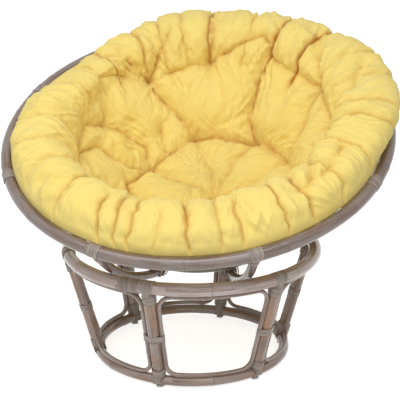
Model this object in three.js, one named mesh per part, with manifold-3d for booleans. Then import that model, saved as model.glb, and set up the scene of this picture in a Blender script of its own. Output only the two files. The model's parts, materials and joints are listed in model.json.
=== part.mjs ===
// A papasan chair: a round tufted cushion in a bowl of bent rattan poles,
// which rests tilted on an open drum-shaped base of the same poles.
// Millimetres, +Z up, the chair faces -Y, the origin is on the floor under the middle of the chair's box.
import * as THREE from "three";
import { mergeVertices } from "three/addons/utils/BufferGeometryUtils.js";
import Module from "manifold-3d";

const wasm = await Module();
wasm.setup();

// Clearances
const clearance = 0.3; // between pieces that touch
const sweepReach = 30; // how far the cone that clears the bowl's way reaches to each side of the top ring

// The rim, with which the bowl, the base rings and the cushion keep step
const rimRadius = 532.5; // to the middle of the pole

// Base: two rings, six slanting posts, six cane windows
const postCount = 6;
const firstPostAngle = -8.3; // degrees from the front, towards +X
const topRingShare = 0.6479; // of the rim's radius, to the middle of the pole
const topRingPole = 36;
const topRingHeight = 314; // floor to the middle of the pole
const bottomRingShare = 0.4957; // of the rim's radius
const bottomRingPole = 28;
const postPole = 33;
const postSeat = 6; // how far above the bottom ring's middle a post's shaped foot ends
const cane = 12;
const caneCornerRadius = 36;
const glideHeight = 5;
const glideDiameter = 20;

// Peel wrapped round the joints
const wrap = 2; // thickness of the wrapped peel
const ringWrapWidth = 42; // along a base ring
const topWrapReach = 30; // down a post from the top ring
const bottomWrapReach = 30; // up a post from the bottom ring
const midWrapHeight = 26;
const midWrapShare = 0.47; // of a post's length, from its foot
const rimWrapWidth = 38; // along the rim
const ribWrapReach = 22; // down a rib from the rim

// Bowl: a rim, eight ribs bent to one sphere, and a lower ring inside them
const tilt = 23; // degrees, the front edge lowered
const rimPole = 35;
const bowlCurveShare = 1.078; // of the rim's radius: the sphere through the middles of the ribs
const ribCount = 8;
const firstRibAngle = 25.5; // degrees from the front, towards +X
const ribPole = 25;
const lowerRingShare = 0.4789; // of the rim's radius
const lowerRingPole = 24;
const ribPastRing = 20; // how far a rib's end runs past the lower ring

// Cushion
const seatThickness = 97; // of the pad in the middle of the seat
const padHang = 8; // how far the pad sags into the lower ring
const sideSag = 8; // how far the underside sags outwards between the lower ring and the rim
const seatShare = 0.404; // of the rim's radius: the flat bottom of the hollow
const hollowShare = 0.655; // of the rim's radius: where the hollow's side reaches the height of the rim
const rollHeight = 100; // crest of the rolled edge above the rim, where its share is 1
const rollWidth = 96; // from the cushion's edge to the crest, where its share is 1
const ringDent = 1; // room between the cushion and the lower ring
const seatedRingMargin = 18; // how far the pad stays in line with the lower ring, past its pole
const rimBend = 45; // degrees that the pad's side bends round the rim, in one step
const puff = 17; // how far the pad swells between its creases
const puffSpread = 34;
const tuftDepth = 30;
const tuftSpread = 19;
const creaseDepth = 20;
const creaseSpread = 12.5;
const pleatDepth = 15;
const pleatSpread = 9;
const tableSpread = 11; // degrees over which the entries of the tables below blend

// How far the edge lies past the middle of the rim: degrees from the front, share of the rim's radius
const edgeShares = [
  [0, -0.068], [30, -0.075], [60, -0.075], [75, -0.041], [88, -0.019], [97, 0.009], [105, 0.047],
  [112, 0.064], [120, 0.066], [127, 0.047], [136, 0.015], [148, 0.026], [156, -0.008], [170, 0.004],
  [180, 0], [-165, 0], [-155, -0.023], [-147, -0.056], [-140, -0.079], [-129, -0.083], [-117, -0.113],
  [-105, -0.103], [-94, -0.064], [-83, -0.049], [-73, -0.051], [-60, -0.079], [-30, -0.075],
];
// Height of the crest: degrees from the front, share of rollHeight
const crestShares = [
  [0, 0.8], [45, 0.86], [90, 0.98], [120, 1], [148, 1.08], [158, 0.86], [170, 0.9], [180, 0.85],
  [-165, 0.85], [-155, 0.8], [-147, 0.74], [-135, 0.7], [-117, 0.62], [-105, 0.68], [-94, 0.78],
  [-83, 0.85], [-70, 0.9], [-45, 0.86],
];
// How far the crest lies inside the edge: degrees from the front, share of rollWidth
const rollWidthShares = [[0, 0.78], [50, 0.85], [90, 1], [180, 1], [-90, 1], [-50, 0.85]];
// The section from the middle of the seat to the rim, in shares of the sizes that each row names
const wallShares = [[0.33, 0], [0.66, 0.04], [1, 0.16]]; // of the seat's radius out, of the wall's rise up
const brinkShares = [[0.5, 0.72], [1, 1]]; // of the way from the hollow to the crest, of the crest up
const rollShares = [[0.5, 0.98], [0.14, 0.82], [0, 0.5]]; // of the roll's width inwards, of the crest up
const brinkShare = 0.58; // of the way to the rim, where the roll's crest lies
const tuckShares = [0.42, 0.18]; // of the way from the rim to the edge, of the crest up
const topRowShares = [
  0.083, 0.167, 0.208, 0.25, 0.292, 0.333, 0.375, 0.417, 0.458, 0.5, 0.542, 0.583, 0.625,
  0.667, 0.708, 0.75, 0.792, 0.833, 0.917,
]; // where the rows lie, from the middle of the seat to the rim
const undersideShares = [0.45, 0.85]; // of the way from the middle to the lower ring
const sideShares = [0, 0.33, 0.66]; // of the way from the lower ring to the rim

// Sewn tufts: degrees from the front, share of the rim's radius
const tuftShares = [
  [45, 0.13], [-53, 0.38], [-3, 0.39], [52, 0.42], [107, 0.45], [146, 0.41], [-165, 0.37],
  [-110, 0.31], [-25, 0.66], [-54, 0.64], [-82, 0.61], [-110, 0.58], [-146, 0.62], [-176, 0.66],
  [156, 0.71], [123, 0.71], [99, 0.69], [83, 0.69], [76, 0.55], [60, 0.67], [34, 0.66], [5, 0.66],
];
// Creases: share of creaseDepth, then places like the tufts'
const creaseShares = [
  [1, [-53, 0.38], [-78, 0.39], [-110, 0.31], [-135, 0.32], [-165, 0.37], [175, 0.38], [146, 0.41],
    [128, 0.42], [107, 0.45], [76, 0.55], [60, 0.67]],
  [0.9, [146, 0.41], [155, 0.49], [157, 0.64], [155, 0.77], [156, 0.85]],
  [0.85, [-146, 0.62], [-138, 0.7], [-131, 0.84]], [0.5, [-146, 0.62], [-132, 0.72]],
  [0.8, [-146, 0.62], [-156, 0.72], [-160, 0.81]], [0.75, [-146, 0.6], [-154, 0.5], [-165, 0.37]],
  [0.5, [-141, 0.45], [-135, 0.35]], [0.75, [-110, 0.58], [-116, 0.51], [-121, 0.41], [-110, 0.31]],
  [0.7, [-82, 0.61], [-93, 0.55], [-97, 0.4], [-110, 0.31]], [0.65, [-82, 0.61], [-98, 0.63], [-110, 0.58]],
  [0.6, [-110, 0.58], [-121, 0.68], [-131, 0.68], [-146, 0.62]],
  [0.7, [-82, 0.61], [-65, 0.57], [-64, 0.4], [-53, 0.38]],
  [0.65, [-176, 0.66], [-178, 0.76], [-177, 0.85]], [0.5, [-176, 0.66], [-166, 0.65], [-155, 0.64]],
  [0.75, [-176, 0.66], [177, 0.69], [170, 0.73], [161, 0.78], [157, 0.75]],
  [0.7, [156, 0.71], [140, 0.69], [123, 0.71]], [0.6, [123, 0.71], [131, 0.78], [141, 0.91]],
  [0.7, [123, 0.71], [110, 0.69], [99, 0.69], [83, 0.69]], [0.75, [123, 0.71], [114, 0.56], [107, 0.45]],
  [0.75, [83, 0.69], [78, 0.62], [76, 0.55]], [0.7, [76, 0.55], [60, 0.73], [51, 0.88], [46, 1]],
  [0.6, [83, 0.69], [72, 0.83], [56, 1]], [0.5, [99, 0.69], [108, 0.83], [117, 0.97]],
  [0.5, [45, 0.13], [100, 0.11], [140, 0.24], [146, 0.41]],
  [0.5, [45, 0.13], [0, 0.04], [-90, 0.13], [-110, 0.31]], [0.5, [45, 0.13], [-10, 0.23], [-53, 0.38]],
  [0.55, [45, 0.13], [52, 0.28], [52, 0.42]], [0.45, [45, 0.13], [88, 0.3], [107, 0.45]],
  [0.4, [45, 0.13], [160, 0.11], [-165, 0.37]],
  [0.7, [-53, 0.38], [-28, 0.37], [-3, 0.39], [25, 0.39], [52, 0.42]],
  [0.6, [52, 0.42], [58, 0.54], [60, 0.67]], [0.7, [-53, 0.38], [-54, 0.51], [-54, 0.64]],
  [0.6, [-3, 0.39], [2, 0.53], [5, 0.66]],
  [0.6, [-54, 0.64], [-40, 0.65], [-25, 0.66], [-10, 0.65], [5, 0.66], [20, 0.65], [34, 0.66],
    [60, 0.67]],
  [0.6, [-82, 0.61], [-68, 0.64], [-54, 0.64]],
];
// Pleats over the rolled edge: degrees at the inner end, degrees at the rim, share of pleatDepth
const pleatShares = [
  [-25, -20, 0.9], [-17, -14, 0.9], [-10, -10, 0.8], [0, -2, 0.3], [5, 8, 1], [16, 17, 0.6],
  [24, 23, 0.8], [35, 37, 0.9], [47, 46, 1], [60, 58, 0.7], [76, 72, 0.6], [86, 90, 0.8],
  [99, 96, 0.6], [111, 112, 0.3], [123, 124, 0.6], [134, 137, 0.3], [156, 155, 1], [167, 168, 0.4],
  [-176, -176, 1], [-166, -165, 0.4], [-156, -157, 0.6], [-146, -146, 0.7], [-131, -129, 0.9],
  [-121, -120, 0.4], [-108, -106, 0.3], [-82, -82, 0.3], [-66, -69, 0.35], [-52, -55, 0.3],
  [-40, -36, 0.6],
];
const pleatStartShare = 0.56; // of the way from the middle of the seat to the rim
const pleatReachShare = 0.08;
const calmShare = 0.2; // of the same way, over which all of this dies away towards the rim

// Facets
const topRingSides = 12;
const bottomRingSides = 8;
const rimSides = 12;
const lowerRingSides = 8;
const topRingSteps = 48;
const bottomRingSteps = 36;
const rimSteps = 56;
const lowerRingSteps = 32;
const postSides = 12;
const caneSides = 6;
const ribSides = 8;
const ribSteps = 9;
const glideSides = 12;
const cornerSteps = 3;
const railSteps = 4;
const wrapArcSteps = 2;
const petalSteps = 3; // columns from one pleat to the next
const sweepSteps = 48;

const radians = THREE.MathUtils.degToRad;
const half = (size) => size / 2;
const turn = 2 * Math.PI;

// Sizes and places that follow from those
const topRingRadius = rimRadius * topRingShare;
const bottomRingRadius = rimRadius * bottomRingShare;
const bowlCurveRadius = rimRadius * bowlCurveShare;
const lowerRingRadius = rimRadius * lowerRingShare;
const seatRadius = rimRadius * seatShare;
const hollowRadius = rimRadius * hollowShare;
const bottomRingHeight = glideHeight + clearance + wrap + half(bottomRingPole);
const slantRise = topRingHeight - bottomRingHeight;
const slantRun = topRingRadius - bottomRingRadius;
const slantLength = Math.hypot(slantRise, slantRun);
const slantAngle = Math.atan2(slantRun, slantRise);
const postStep = turn / postCount;
const ribStep = turn / ribCount;
const seatRadiusOfSphere = bowlCurveRadius + half(ribPole) + clearance;
const ringFromMiddle = seatRadiusOfSphere + half(topRingPole);
const facetRingRadius = topRingRadius * Math.cos(half(turn / topRingSteps)); // where a facet is nearest
const seatAngle = Math.asin(facetRingRadius / ringFromMiddle);
const bowlMiddleHeight = topRingHeight + ringFromMiddle * Math.cos(seatAngle);
const rimAngle = Math.asin(rimRadius / bowlCurveRadius);
const rimDrop = bowlCurveRadius * Math.cos(rimAngle); // from the sphere's middle to the rim's plane
const lowerRingFromMiddle = bowlCurveRadius - half(ribPole) - clearance - half(lowerRingPole);
const lowerRingAngle = Math.asin(lowerRingRadius / lowerRingFromMiddle);
const lowerRingDrop = lowerRingFromMiddle * Math.cos(lowerRingAngle);
const ribEndAngle = lowerRingAngle - ribPastRing / bowlCurveRadius;
const caneFromPost = half(postPole) + clearance + half(cane);

// Materials
const rattan = { color: 0x96867a, roughness: 0.38, metalness: 0 };
const peel = { color: 0x8a7769, roughness: 0.5, metalness: 0 };
const cotton = { color: 0xefd076, roughness: 0.9, metalness: 0 };
const glidePlastic = { color: 0xd8d2c8, roughness: 0.5, metalness: 0 };

// Solids and meshes

// A closed geometry as a solid for joining and cutting.
function solidOf(geometry) {
  const bare = geometry.clone();
  bare.deleteAttribute("normal");
  bare.deleteAttribute("uv");
  const merged = mergeVertices(bare);
  return new wasm.Manifold(
    new wasm.Mesh({
      numProp: 3,
      vertProperties: merged.getAttribute("position").array,
      triVerts: new Uint32Array(merged.getIndex().array),
    }),
  );
}

function geometryOf(solid) {
  const { vertProperties, triVerts } = solid.getMesh();
  const geometry = new THREE.BufferGeometry();
  geometry.setAttribute("position", new THREE.BufferAttribute(vertProperties, 3));
  geometry.setIndex(new THREE.BufferAttribute(triVerts, 1));
  geometry.computeVertexNormals();
  return geometry;
}

function piece(name, geometry, finish) {
  const mesh = new THREE.Mesh(geometry, new THREE.MeshStandardMaterial(finish));
  mesh.name = name;
  return mesh;
}

// Curves

// A curve that keeps its points as its own steps, so that a bend gets more of them than a straight.
class SteppedPath extends THREE.Curve {
  constructor(points, closed) {
    super();
    this.points = points;
    this.steps = closed ? points.length : points.length - 1;
  }
  getPoint(t, target = new THREE.Vector3()) {
    const count = this.points.length;
    const place = t * this.steps;
    const step = Math.min(Math.floor(place), this.steps - 1);
    return target.lerpVectors(
      this.points[step % count],
      this.points[(step + 1) % count],
      place - step,
    );
  }
  getPointAt(u, target) {
    return this.getPoint(u, target);
  }
  getTangentAt(u, target) {
    return this.getTangent(u, target);
  }
}

// Poles

function roundSection(radius, sides) {
  const corners = [];
  for (let i = 0; i < sides; i++) {
    const angle = (turn * i) / sides;
    corners.push(new THREE.Vector2(radius * Math.cos(angle), radius * Math.sin(angle)));
  }
  return new THREE.Shape(corners);
}

// A pole through the given points, with a flat end at each end.
function bentPole(points, radius, sides) {
  const path = new SteppedPath(points, false);
  return new THREE.ExtrudeGeometry(roundSection(radius, sides), { extrudePath: path, steps: path.steps });
}

// A ring of pole round Z, with one of its straight facets square to the front.
function ringPole(radius, poleRadius, sides, steps) {
  return new THREE.TorusGeometry(radius, poleRadius, sides, steps).rotateZ(half(turn / steps));
}

// A straight round along the first post, between two places on its length.
function alongPost(radius, from, to) {
  const length = to - from;
  return new THREE.CylinderGeometry(radius, radius, length, postSides)
    .rotateX(half(Math.PI))
    .translate(0, 0, half(length) + from)
    .rotateX(slantAngle)
    .translate(0, -bottomRingRadius, bottomRingHeight);
}

// A point on the base's cone: how far up the slant, and how far round from the first post.
function onSlant(along, angle) {
  const radius = slantRadius(along);
  return new THREE.Vector3(
    radius * Math.sin(angle),
    -radius * Math.cos(angle),
    bottomRingHeight + along * Math.cos(slantAngle),
  );
}

function slantRadius(along) {
  return bottomRingRadius + along * Math.sin(slantAngle);
}

// A sleeve round the facet of a ring that is square to the front.
function ringSleeve(radius, width, thickRadius, sides, steps) {
  const out = radius * Math.cos(half(turn / steps));
  const ends = [-half(width), half(width)].map((across) => new THREE.Vector3(across, -out, 0));
  return bentPole(ends, thickRadius, sides);
}

// Base

function topRingGrown(growth) {
  const ring = ringPole(topRingRadius, half(topRingPole) + growth, topRingSides, topRingSteps);
  return ring.translate(0, 0, topRingHeight);
}

function bottomRingGrown(growth) {
  const ring = ringPole(bottomRingRadius, half(bottomRingPole) + growth, bottomRingSides, bottomRingSteps);
  return ring.translate(0, 0, bottomRingHeight);
}

// A post whose ends are shaped to sit on the two rings.
function postSolid() {
  return solidOf(alongPost(half(postPole), postSeat, slantLength))
    .subtract(solidOf(topRingGrown(clearance)))
    .subtract(solidOf(bottomRingGrown(clearance)));
}

// The cane loop between the first post and the next: up beside one post, under the top ring,
// down beside the other and along the bottom ring, with round corners.
function windowLoop() {
  const low = half(bottomRingPole) + clearance + half(cane);
  const high = slantLength - half(topRingPole) - clearance - half(cane);
  const sideAt = (along) =>
    slantRadius(along) * (half(postStep) - Math.asin(caneFromPost / slantRadius(along)));
  const corners = [
    new THREE.Vector2(-sideAt(low), low),
    new THREE.Vector2(sideAt(low), low),
    new THREE.Vector2(sideAt(high), high),
    new THREE.Vector2(-sideAt(high), high),
  ];
  const flat = [];
  corners.forEach((corner, i) => {
    const before = corners[(i + corners.length - 1) % corners.length];
    const after = corners[(i + 1) % corners.length];
    const start = roundCorner(flat, before, corner, after);
    const next = corners[(i + 2) % corners.length];
    const alongRing = corner.y === after.y;
    if (alongRing) addRail(flat, start, cornerStart(corner, after, next));
  });
  const points = flat.map(({ x, y }) => onSlant(y, half(postStep) + x / slantRadius(y)));
  return new SteppedPath(points, true);
}

// How far from a corner its arc starts.
function cornerReach(before, corner, after) {
  const into = before.clone().sub(corner).normalize();
  const out = after.clone().sub(corner).normalize();
  const opening = Math.acos(into.dot(out));
  return caneCornerRadius / Math.tan(half(opening));
}

function cornerStart(before, corner, after) {
  const reach = cornerReach(before, corner, after);
  return corner.clone().add(before.clone().sub(corner).setLength(reach));
}

// Adds a corner's arc to the points, and gives the place where it ends.
function roundCorner(points, before, corner, after) {
  const reach = cornerReach(before, corner, after);
  const start = corner.clone().add(before.clone().sub(corner).setLength(reach));
  const end = corner.clone().add(after.clone().sub(corner).setLength(reach));
  const inward = start.clone().add(end).sub(corner).sub(corner);
  const middle = corner.clone().add(inward.setLength(Math.hypot(reach, caneCornerRadius)));
  const from = Math.atan2(start.y - middle.y, start.x - middle.x);
  let sweep = Math.atan2(end.y - middle.y, end.x - middle.x) - from;
  if (sweep < 0) sweep += turn;
  for (let i = 0; i <= cornerSteps; i++) {
    const angle = from + (sweep * i) / cornerSteps;
    const spoke = new THREE.Vector2(Math.cos(angle), Math.sin(angle)).multiplyScalar(caneCornerRadius);
    points.push(middle.clone().add(spoke));
  }
  return end;
}

function addRail(points, start, end) {
  for (let i = 1; i < railSteps; i++) {
    points.push(start.clone().lerp(end, i / railSteps));
  }
}

function windowCane(growth) {
  const loop = windowLoop();
  return new THREE.TubeGeometry(loop, loop.points.length, half(cane) + growth, caneSides, true);
}

// The two cane loops that pass the first post, a little thicker, for cutting.
function canesBesidePost() {
  const right = solidOf(windowCane(clearance));
  const left = solidOf(windowCane(clearance).rotateZ(-postStep));
  return right.add(left);
}

// The cone that touches the bowl's sphere where it rests on the top ring: inside it the bowl can pass.
function bowlSweep() {
  const widen = 1 / Math.cos(half(turn / sweepSteps));
  const [low, high] = [-sweepReach, sweepReach].map(
    (along) =>
      new THREE.Vector2(
        (seatRadiusOfSphere * Math.sin(seatAngle) + along * Math.cos(seatAngle)) * widen,
        bowlMiddleHeight - seatRadiusOfSphere * Math.cos(seatAngle) + along * Math.sin(seatAngle),
      ),
  );
  const closed = [new THREE.Vector2(0, low.y), low, high, new THREE.Vector2(0, high.y)];
  return new THREE.LatheGeometry(closed, sweepSteps).rotateX(half(Math.PI)).rotateZ(half(turn / sweepSteps));
}

function topBindingSolid() {
  const reach = slantLength - half(topRingPole) - topWrapReach;
  const round = half(topRingPole) + wrap;
  const sleeve = ringSleeve(topRingRadius, ringWrapWidth, round, topRingSides, topRingSteps);
  return solidOf(sleeve.translate(0, 0, topRingHeight))
    .add(solidOf(alongPost(half(postPole) + wrap, reach, slantLength)))
    .subtract(solidOf(topRingGrown(clearance)))
    .subtract(solidOf(alongPost(half(postPole) + clearance, 0, slantLength)))
    .subtract(canesBesidePost())
    .subtract(solidOf(bowlSweep()));
}

function bottomBindingSolid() {
  const reach = half(bottomRingPole) + bottomWrapReach;
  const round = half(bottomRingPole) + wrap;
  const sleeve = ringSleeve(bottomRingRadius, ringWrapWidth, round, bottomRingSides, bottomRingSteps);
  return solidOf(sleeve.translate(0, 0, bottomRingHeight))
    .add(solidOf(alongPost(half(postPole) + wrap, 0, reach)))
    .subtract(solidOf(bottomRingGrown(clearance)))
    .subtract(solidOf(alongPost(half(postPole) + clearance, 0, slantLength)))
    .subtract(canesBesidePost());
}

// Outline of the turns that hold a post and the canes on both sides of it together.
function midWrapOutline() {
  const postRound = half(postPole) + wrap;
  const caneRound = half(cane) + wrap;
  const lean = Math.acos((postRound - caneRound) / caneFromPost);
  const outline = new THREE.Shape();
  outline.absarc(caneFromPost, 0, caneRound, -lean, lean);
  outline.absarc(0, 0, postRound, lean, Math.PI - lean);
  outline.absarc(-caneFromPost, 0, caneRound, Math.PI - lean, Math.PI + lean);
  outline.absarc(0, 0, postRound, Math.PI + lean, turn - lean);
  return outline;
}

function midBindingSolid() {
  const middle = slantLength * midWrapShare;
  const sleeve = new THREE.ExtrudeGeometry(midWrapOutline(), {
    depth: midWrapHeight,
    bevelEnabled: false,
    curveSegments: wrapArcSteps,
  })
    .translate(0, 0, middle - half(midWrapHeight))
    .rotateX(slantAngle)
    .translate(0, -bottomRingRadius, bottomRingHeight);
  return solidOf(sleeve)
    .subtract(solidOf(alongPost(half(postPole) + clearance, 0, slantLength)))
    .subtract(canesBesidePost());
}

function footGlide() {
  return new THREE.CylinderGeometry(half(glideDiameter), half(glideDiameter), glideHeight, glideSides)
    .rotateX(half(Math.PI))
    .translate(0, -bottomRingRadius, half(glideHeight));
}

function base() {
  const group = new THREE.Group();
  group.rotation.z = radians(firstPostAngle);
  group.add(piece("base_top_ring", topRingGrown(0), rattan));
  group.add(piece("base_bottom_ring", bottomRingGrown(0), rattan));
  const post = geometryOf(postSolid());
  const topBinding = geometryOf(topBindingSolid());
  const midBinding = geometryOf(midBindingSolid());
  const bottomBinding = geometryOf(bottomBindingSolid());
  for (let i = 0; i < postCount; i++) {
    const side = new THREE.Group();
    side.rotation.z = i * postStep;
    side.add(piece(`post_${i + 1}`, post, rattan));
    side.add(piece(`window_cane_${i + 1}`, windowCane(0), rattan));
    side.add(piece(`top_binding_${i + 1}`, topBinding, peel));
    side.add(piece(`mid_binding_${i + 1}`, midBinding, peel));
    side.add(piece(`bottom_binding_${i + 1}`, bottomBinding, peel));
    side.add(piece(`foot_glide_${i + 1}`, footGlide(), glidePlastic));
    group.add(side);
  }
  return group;
}

// Bowl, round the middle of its sphere, with Z along its axis

function rimGrown(growth) {
  return ringPole(rimRadius, half(rimPole) + growth, rimSides, rimSteps).translate(0, 0, -rimDrop);
}

// The lower ring has a corner of its facets at each rib, where it touches.
function lowerRing() {
  return ringPole(lowerRingRadius, half(lowerRingPole), lowerRingSides, lowerRingSteps)
    .rotateZ(half(turn / lowerRingSteps))
    .translate(0, 0, -lowerRingDrop);
}

// A stretch of the first rib, through the given angles from the bowl's axis.
function ribStretch(angles, thickRadius) {
  const pointAt = (a) => new THREE.Vector3(0, -Math.sin(a), -Math.cos(a)).multiplyScalar(bowlCurveRadius);
  return bentPole(angles.map(pointAt), thickRadius, ribSides);
}

// The whole first rib: one straight facet past the lower ring, then even ones up to the rim.
function wholeRib(growth) {
  const angles = [ribEndAngle];
  for (let i = 0; i <= ribSteps; i++) {
    angles.push(THREE.MathUtils.lerp(lowerRingAngle, rimAngle, i / ribSteps));
  }
  return ribStretch(angles, half(ribPole) + growth);
}

function ribSolid() {
  return solidOf(wholeRib(0)).subtract(solidOf(rimGrown(clearance)));
}

function rimBindingSolid() {
  const reach = rimAngle - (half(rimPole) + ribWrapReach) / bowlCurveRadius;
  const sleeve = ringSleeve(rimRadius, rimWrapWidth, half(rimPole) + wrap, rimSides, rimSteps);
  return solidOf(sleeve.translate(0, 0, -rimDrop))
    .add(solidOf(ribStretch([reach, rimAngle], half(ribPole) + wrap)))
    .subtract(solidOf(rimGrown(clearance)))
    .subtract(solidOf(wholeRib(clearance)));
}

function bowl() {
  const group = new THREE.Group();
  group.rotation.z = radians(firstRibAngle);
  group.add(piece("bowl_rim", rimGrown(0), rattan));
  group.add(piece("bowl_lower_ring", lowerRing(), rattan));
  const rib = geometryOf(ribSolid());
  const rimBinding = geometryOf(rimBindingSolid());
  for (let i = 0; i < ribCount; i++) {
    const side = new THREE.Group();
    side.rotation.z = i * ribStep;
    side.add(piece(`bowl_rib_${i + 1}`, rib, rattan));
    side.add(piece(`rim_binding_${i + 1}`, rimBinding, peel));
    group.add(side);
  }
  return group;
}

// Cushion, in the bowl's frame

// A value for every angle, blended from the nearest entries of a table.
function fromTable(table, angle) {
  let sum = 0;
  let weights = 0;
  for (const [place, value] of table) {
    const apart = Math.abs(Math.atan2(Math.sin(angle - radians(place)), Math.cos(angle - radians(place))));
    const weight = Math.exp(-((apart / radians(tableSpread)) ** 2)) + Number.EPSILON;
    sum += weight * value;
    weights += weight;
  }
  return sum / weights;
}

function onSphere(radius, angle) {
  return new THREE.Vector2(radius * Math.sin(angle), -radius * Math.cos(angle));
}

// Where the pad lies on the lower ring, and where it meets the inner side of the rim.
function padRests() {
  const ringSide = lowerRingFromMiddle - half(lowerRingPole) - ringDent;
  const flatEnd = lowerRingAngle + (half(lowerRingPole) + seatedRingMargin) / lowerRingFromMiddle;
  const bend = radians(rimBend);
  const room = (half(rimPole) + wrap + ringDent) / Math.cos(half(bend));
  return {
    ring: onSphere(ringSide, lowerRingAngle),
    ringEnd: onSphere(ringSide, flatEnd),
    rimSide: new THREE.Vector2(rimRadius - room, -rimDrop),
    rimTop: new THREE.Vector2(rimRadius - room * Math.cos(bend), -rimDrop + room * Math.sin(bend)),
  };
}

// The plain seat at an angle: a curve of [radius, height] from its middle up and over the roll to the rim.
function seatCurve(angle) {
  const { ring, rimTop } = padRests();
  const edge = rimRadius * (1 + fromTable(edgeShares, angle));
  const high = rollHeight * fromTable(crestShares, angle);
  const width = rollWidth * fromTable(rollWidthShares, angle);
  const crest = edge - width;
  const seat = ring.y - padHang + seatThickness;
  const rise = -rimDrop - seat;
  const { lerp } = THREE.MathUtils;
  const wall = wallShares.map(([out, up]) => [seatRadius * out, seat + rise * up]);
  const brink = brinkShares.map(([out, up]) => [lerp(hollowRadius, crest, out), -rimDrop + high * up]);
  const roll = rollShares.map(([inwards, up]) => [edge - width * inwards, -rimDrop + high * up]);
  const [tuck, tuckUp] = tuckShares;
  const points = [
    [0, seat],
    ...wall,
    [half(seatRadius + hollowRadius), seat + half(rise)],
    [hollowRadius, -rimDrop],
    ...brink,
    ...roll,
    [lerp(rimTop.x, edge, tuck), lerp(rimTop.y, -rimDrop + high, tuckUp)],
    [rimTop.x, rimTop.y],
  ];
  return new THREE.SplineCurve(points.map(([x, y]) => new THREE.Vector2(x, y)));
}

function aroundAxis({ x, y }, angle) {
  return new THREE.Vector3(x * Math.sin(angle), -x * Math.cos(angle), y);
}

// The place on the plain seat that has a given share of the rim's radius.
function onSeat([degrees, outShare]) {
  const angle = radians(degrees);
  const curve = seatCurve(angle);
  const out = rimRadius * outShare;
  let low = 0;
  let high = brinkShare;
  while (high - low > clearance / rimRadius) {
    const middle = half(low + high);
    if (curve.getPoint(middle).x < out) low = middle;
    else high = middle;
  }
  return aroundAxis(curve.getPoint(low), angle);
}

// How the sewing lifts or lowers the plain seat at a place.
function sewing(place, angle, share, tufts, creases) {
  let nearest = rimRadius;
  let depth = 0;
  for (const { strength, line } of creases) {
    for (const stretch of line) {
      const away = stretch.closestPointToPoint(place, true, new THREE.Vector3()).distanceTo(place);
      depth = Math.max(depth, strength * creaseDepth * Math.exp(-away / creaseSpread));
      nearest = Math.min(nearest, away);
    }
  }
  const along = THREE.MathUtils.clamp((share - pleatStartShare) / (1 - pleatStartShare), 0, 1);
  const reach = THREE.MathUtils.clamp((share - pleatStartShare) / pleatReachShare, 0, 1);
  for (const [inner, outer, strength] of pleatShares) {
    const apart = angle - radians(THREE.MathUtils.lerp(inner, outer, along));
    const away = Math.hypot(place.x, place.y) * Math.abs(Math.atan2(Math.sin(apart), Math.cos(apart)));
    depth = Math.max(depth, pleatDepth * strength * reach * Math.exp(-away / pleatSpread));
    if (reach === 1) nearest = Math.min(nearest, away);
  }
  const fromTuft = Math.min(...tufts.map((tuft) => tuft.distanceTo(place)));
  const pit = tuftDepth * Math.exp(-fromTuft / tuftSpread);
  return puff * (1 - Math.exp(-Math.min(nearest, fromTuft) / puffSpread)) - depth - pit;
}

// The angle of a column, which runs along the pleats over the roll.
function columnAngle(column, share) {
  const along = THREE.MathUtils.clamp((share - pleatStartShare) / (1 - pleatStartShare), 0, 1);
  const angleOf = (index) => {
    const [inner, outer] = pleatShares[index % pleatShares.length];
    return radians(THREE.MathUtils.lerp(inner, outer, along));
  };
  const pleat = Math.floor(column / petalSteps);
  const here = angleOf(pleat);
  let next = angleOf(pleat + 1);
  if (next < here) next += turn;
  return THREE.MathUtils.lerp(here, next, (column % petalSteps) / petalSteps);
}

function cushion() {
  const tufts = tuftShares.map(onSeat);
  const creases = creaseShares.map(([strength, ...places]) => {
    const points = places.map(onSeat);
    const line = points.slice(1).map((point, i) => new THREE.Line3(points[i], point));
    return { strength, line };
  });
  const { ring, ringEnd, rimSide, rimTop } = padRests();
  const columns = pleatShares.length * petalSteps;
  const lowest = ring.y - padHang;
  const outward = new THREE.Vector2(rimSide.y - ringEnd.y, ringEnd.x - rimSide.x).normalize();
  const under = [
    ...undersideShares.map((out) => new THREE.Vector2(ring.x * out, lowest + padHang * out * out)),
    ring,
    ...sideShares.map((up) => {
      const fromMiddle = 1 - up - up;
      return ringEnd.clone().lerp(rimSide, up).addScaledVector(outward, sideSag * (1 - fromMiddle ** 2));
    }),
    rimSide,
    rimTop,
  ];
  const points = [];
  for (let column = 0; column < columns; column++) {
    const rimAngleHere = columnAngle(column, 1);
    under.forEach((place) => points.push(aroundAxis(place, rimAngleHere)));
    [...topRowShares].reverse().forEach((share) => {
      const angle = columnAngle(column, share);
      const curve = seatCurve(angle);
      const place = aroundAxis(curve.getPoint(share), angle);
      const slope = curve.getTangent(share);
      const normal = aroundAxis(new THREE.Vector2(-slope.y, slope.x), angle);
      const calm = THREE.MathUtils.smoothstep(1 - share, 0, calmShare);
      points.push(place.clone().addScaledVector(normal, calm * sewing(place, angle, share, tufts, creases)));
    });
  }
  const rows = under.length + topRowShares.length;
  const bottom = points.length;
  const middle = new THREE.Vector3(0, 0, ring.y - padHang + seatThickness);
  const lift = sewing(middle, 0, 0, tufts, creases);
  points.push(new THREE.Vector3(0, 0, lowest), middle.clone().setZ(middle.z + lift));
  const faces = [];
  for (let i = 0; i < columns; i++) {
    const here = i * rows;
    const next = ((i + 1) % columns) * rows;
    faces.push(bottom, next, here);
    for (let row = 0; row < rows - 1; row++) {
      faces.push(here + row, next + row, next + row + 1);
      faces.push(here + row, next + row + 1, here + row + 1);
    }
    faces.push(bottom + 1, here + rows - 1, next + rows - 1);
  }
  const geometry = new THREE.BufferGeometry().setFromPoints(points);
  geometry.setIndex(faces);
  geometry.computeVertexNormals();
  return piece("cushion", geometry, cotton);
}

// The chair

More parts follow.
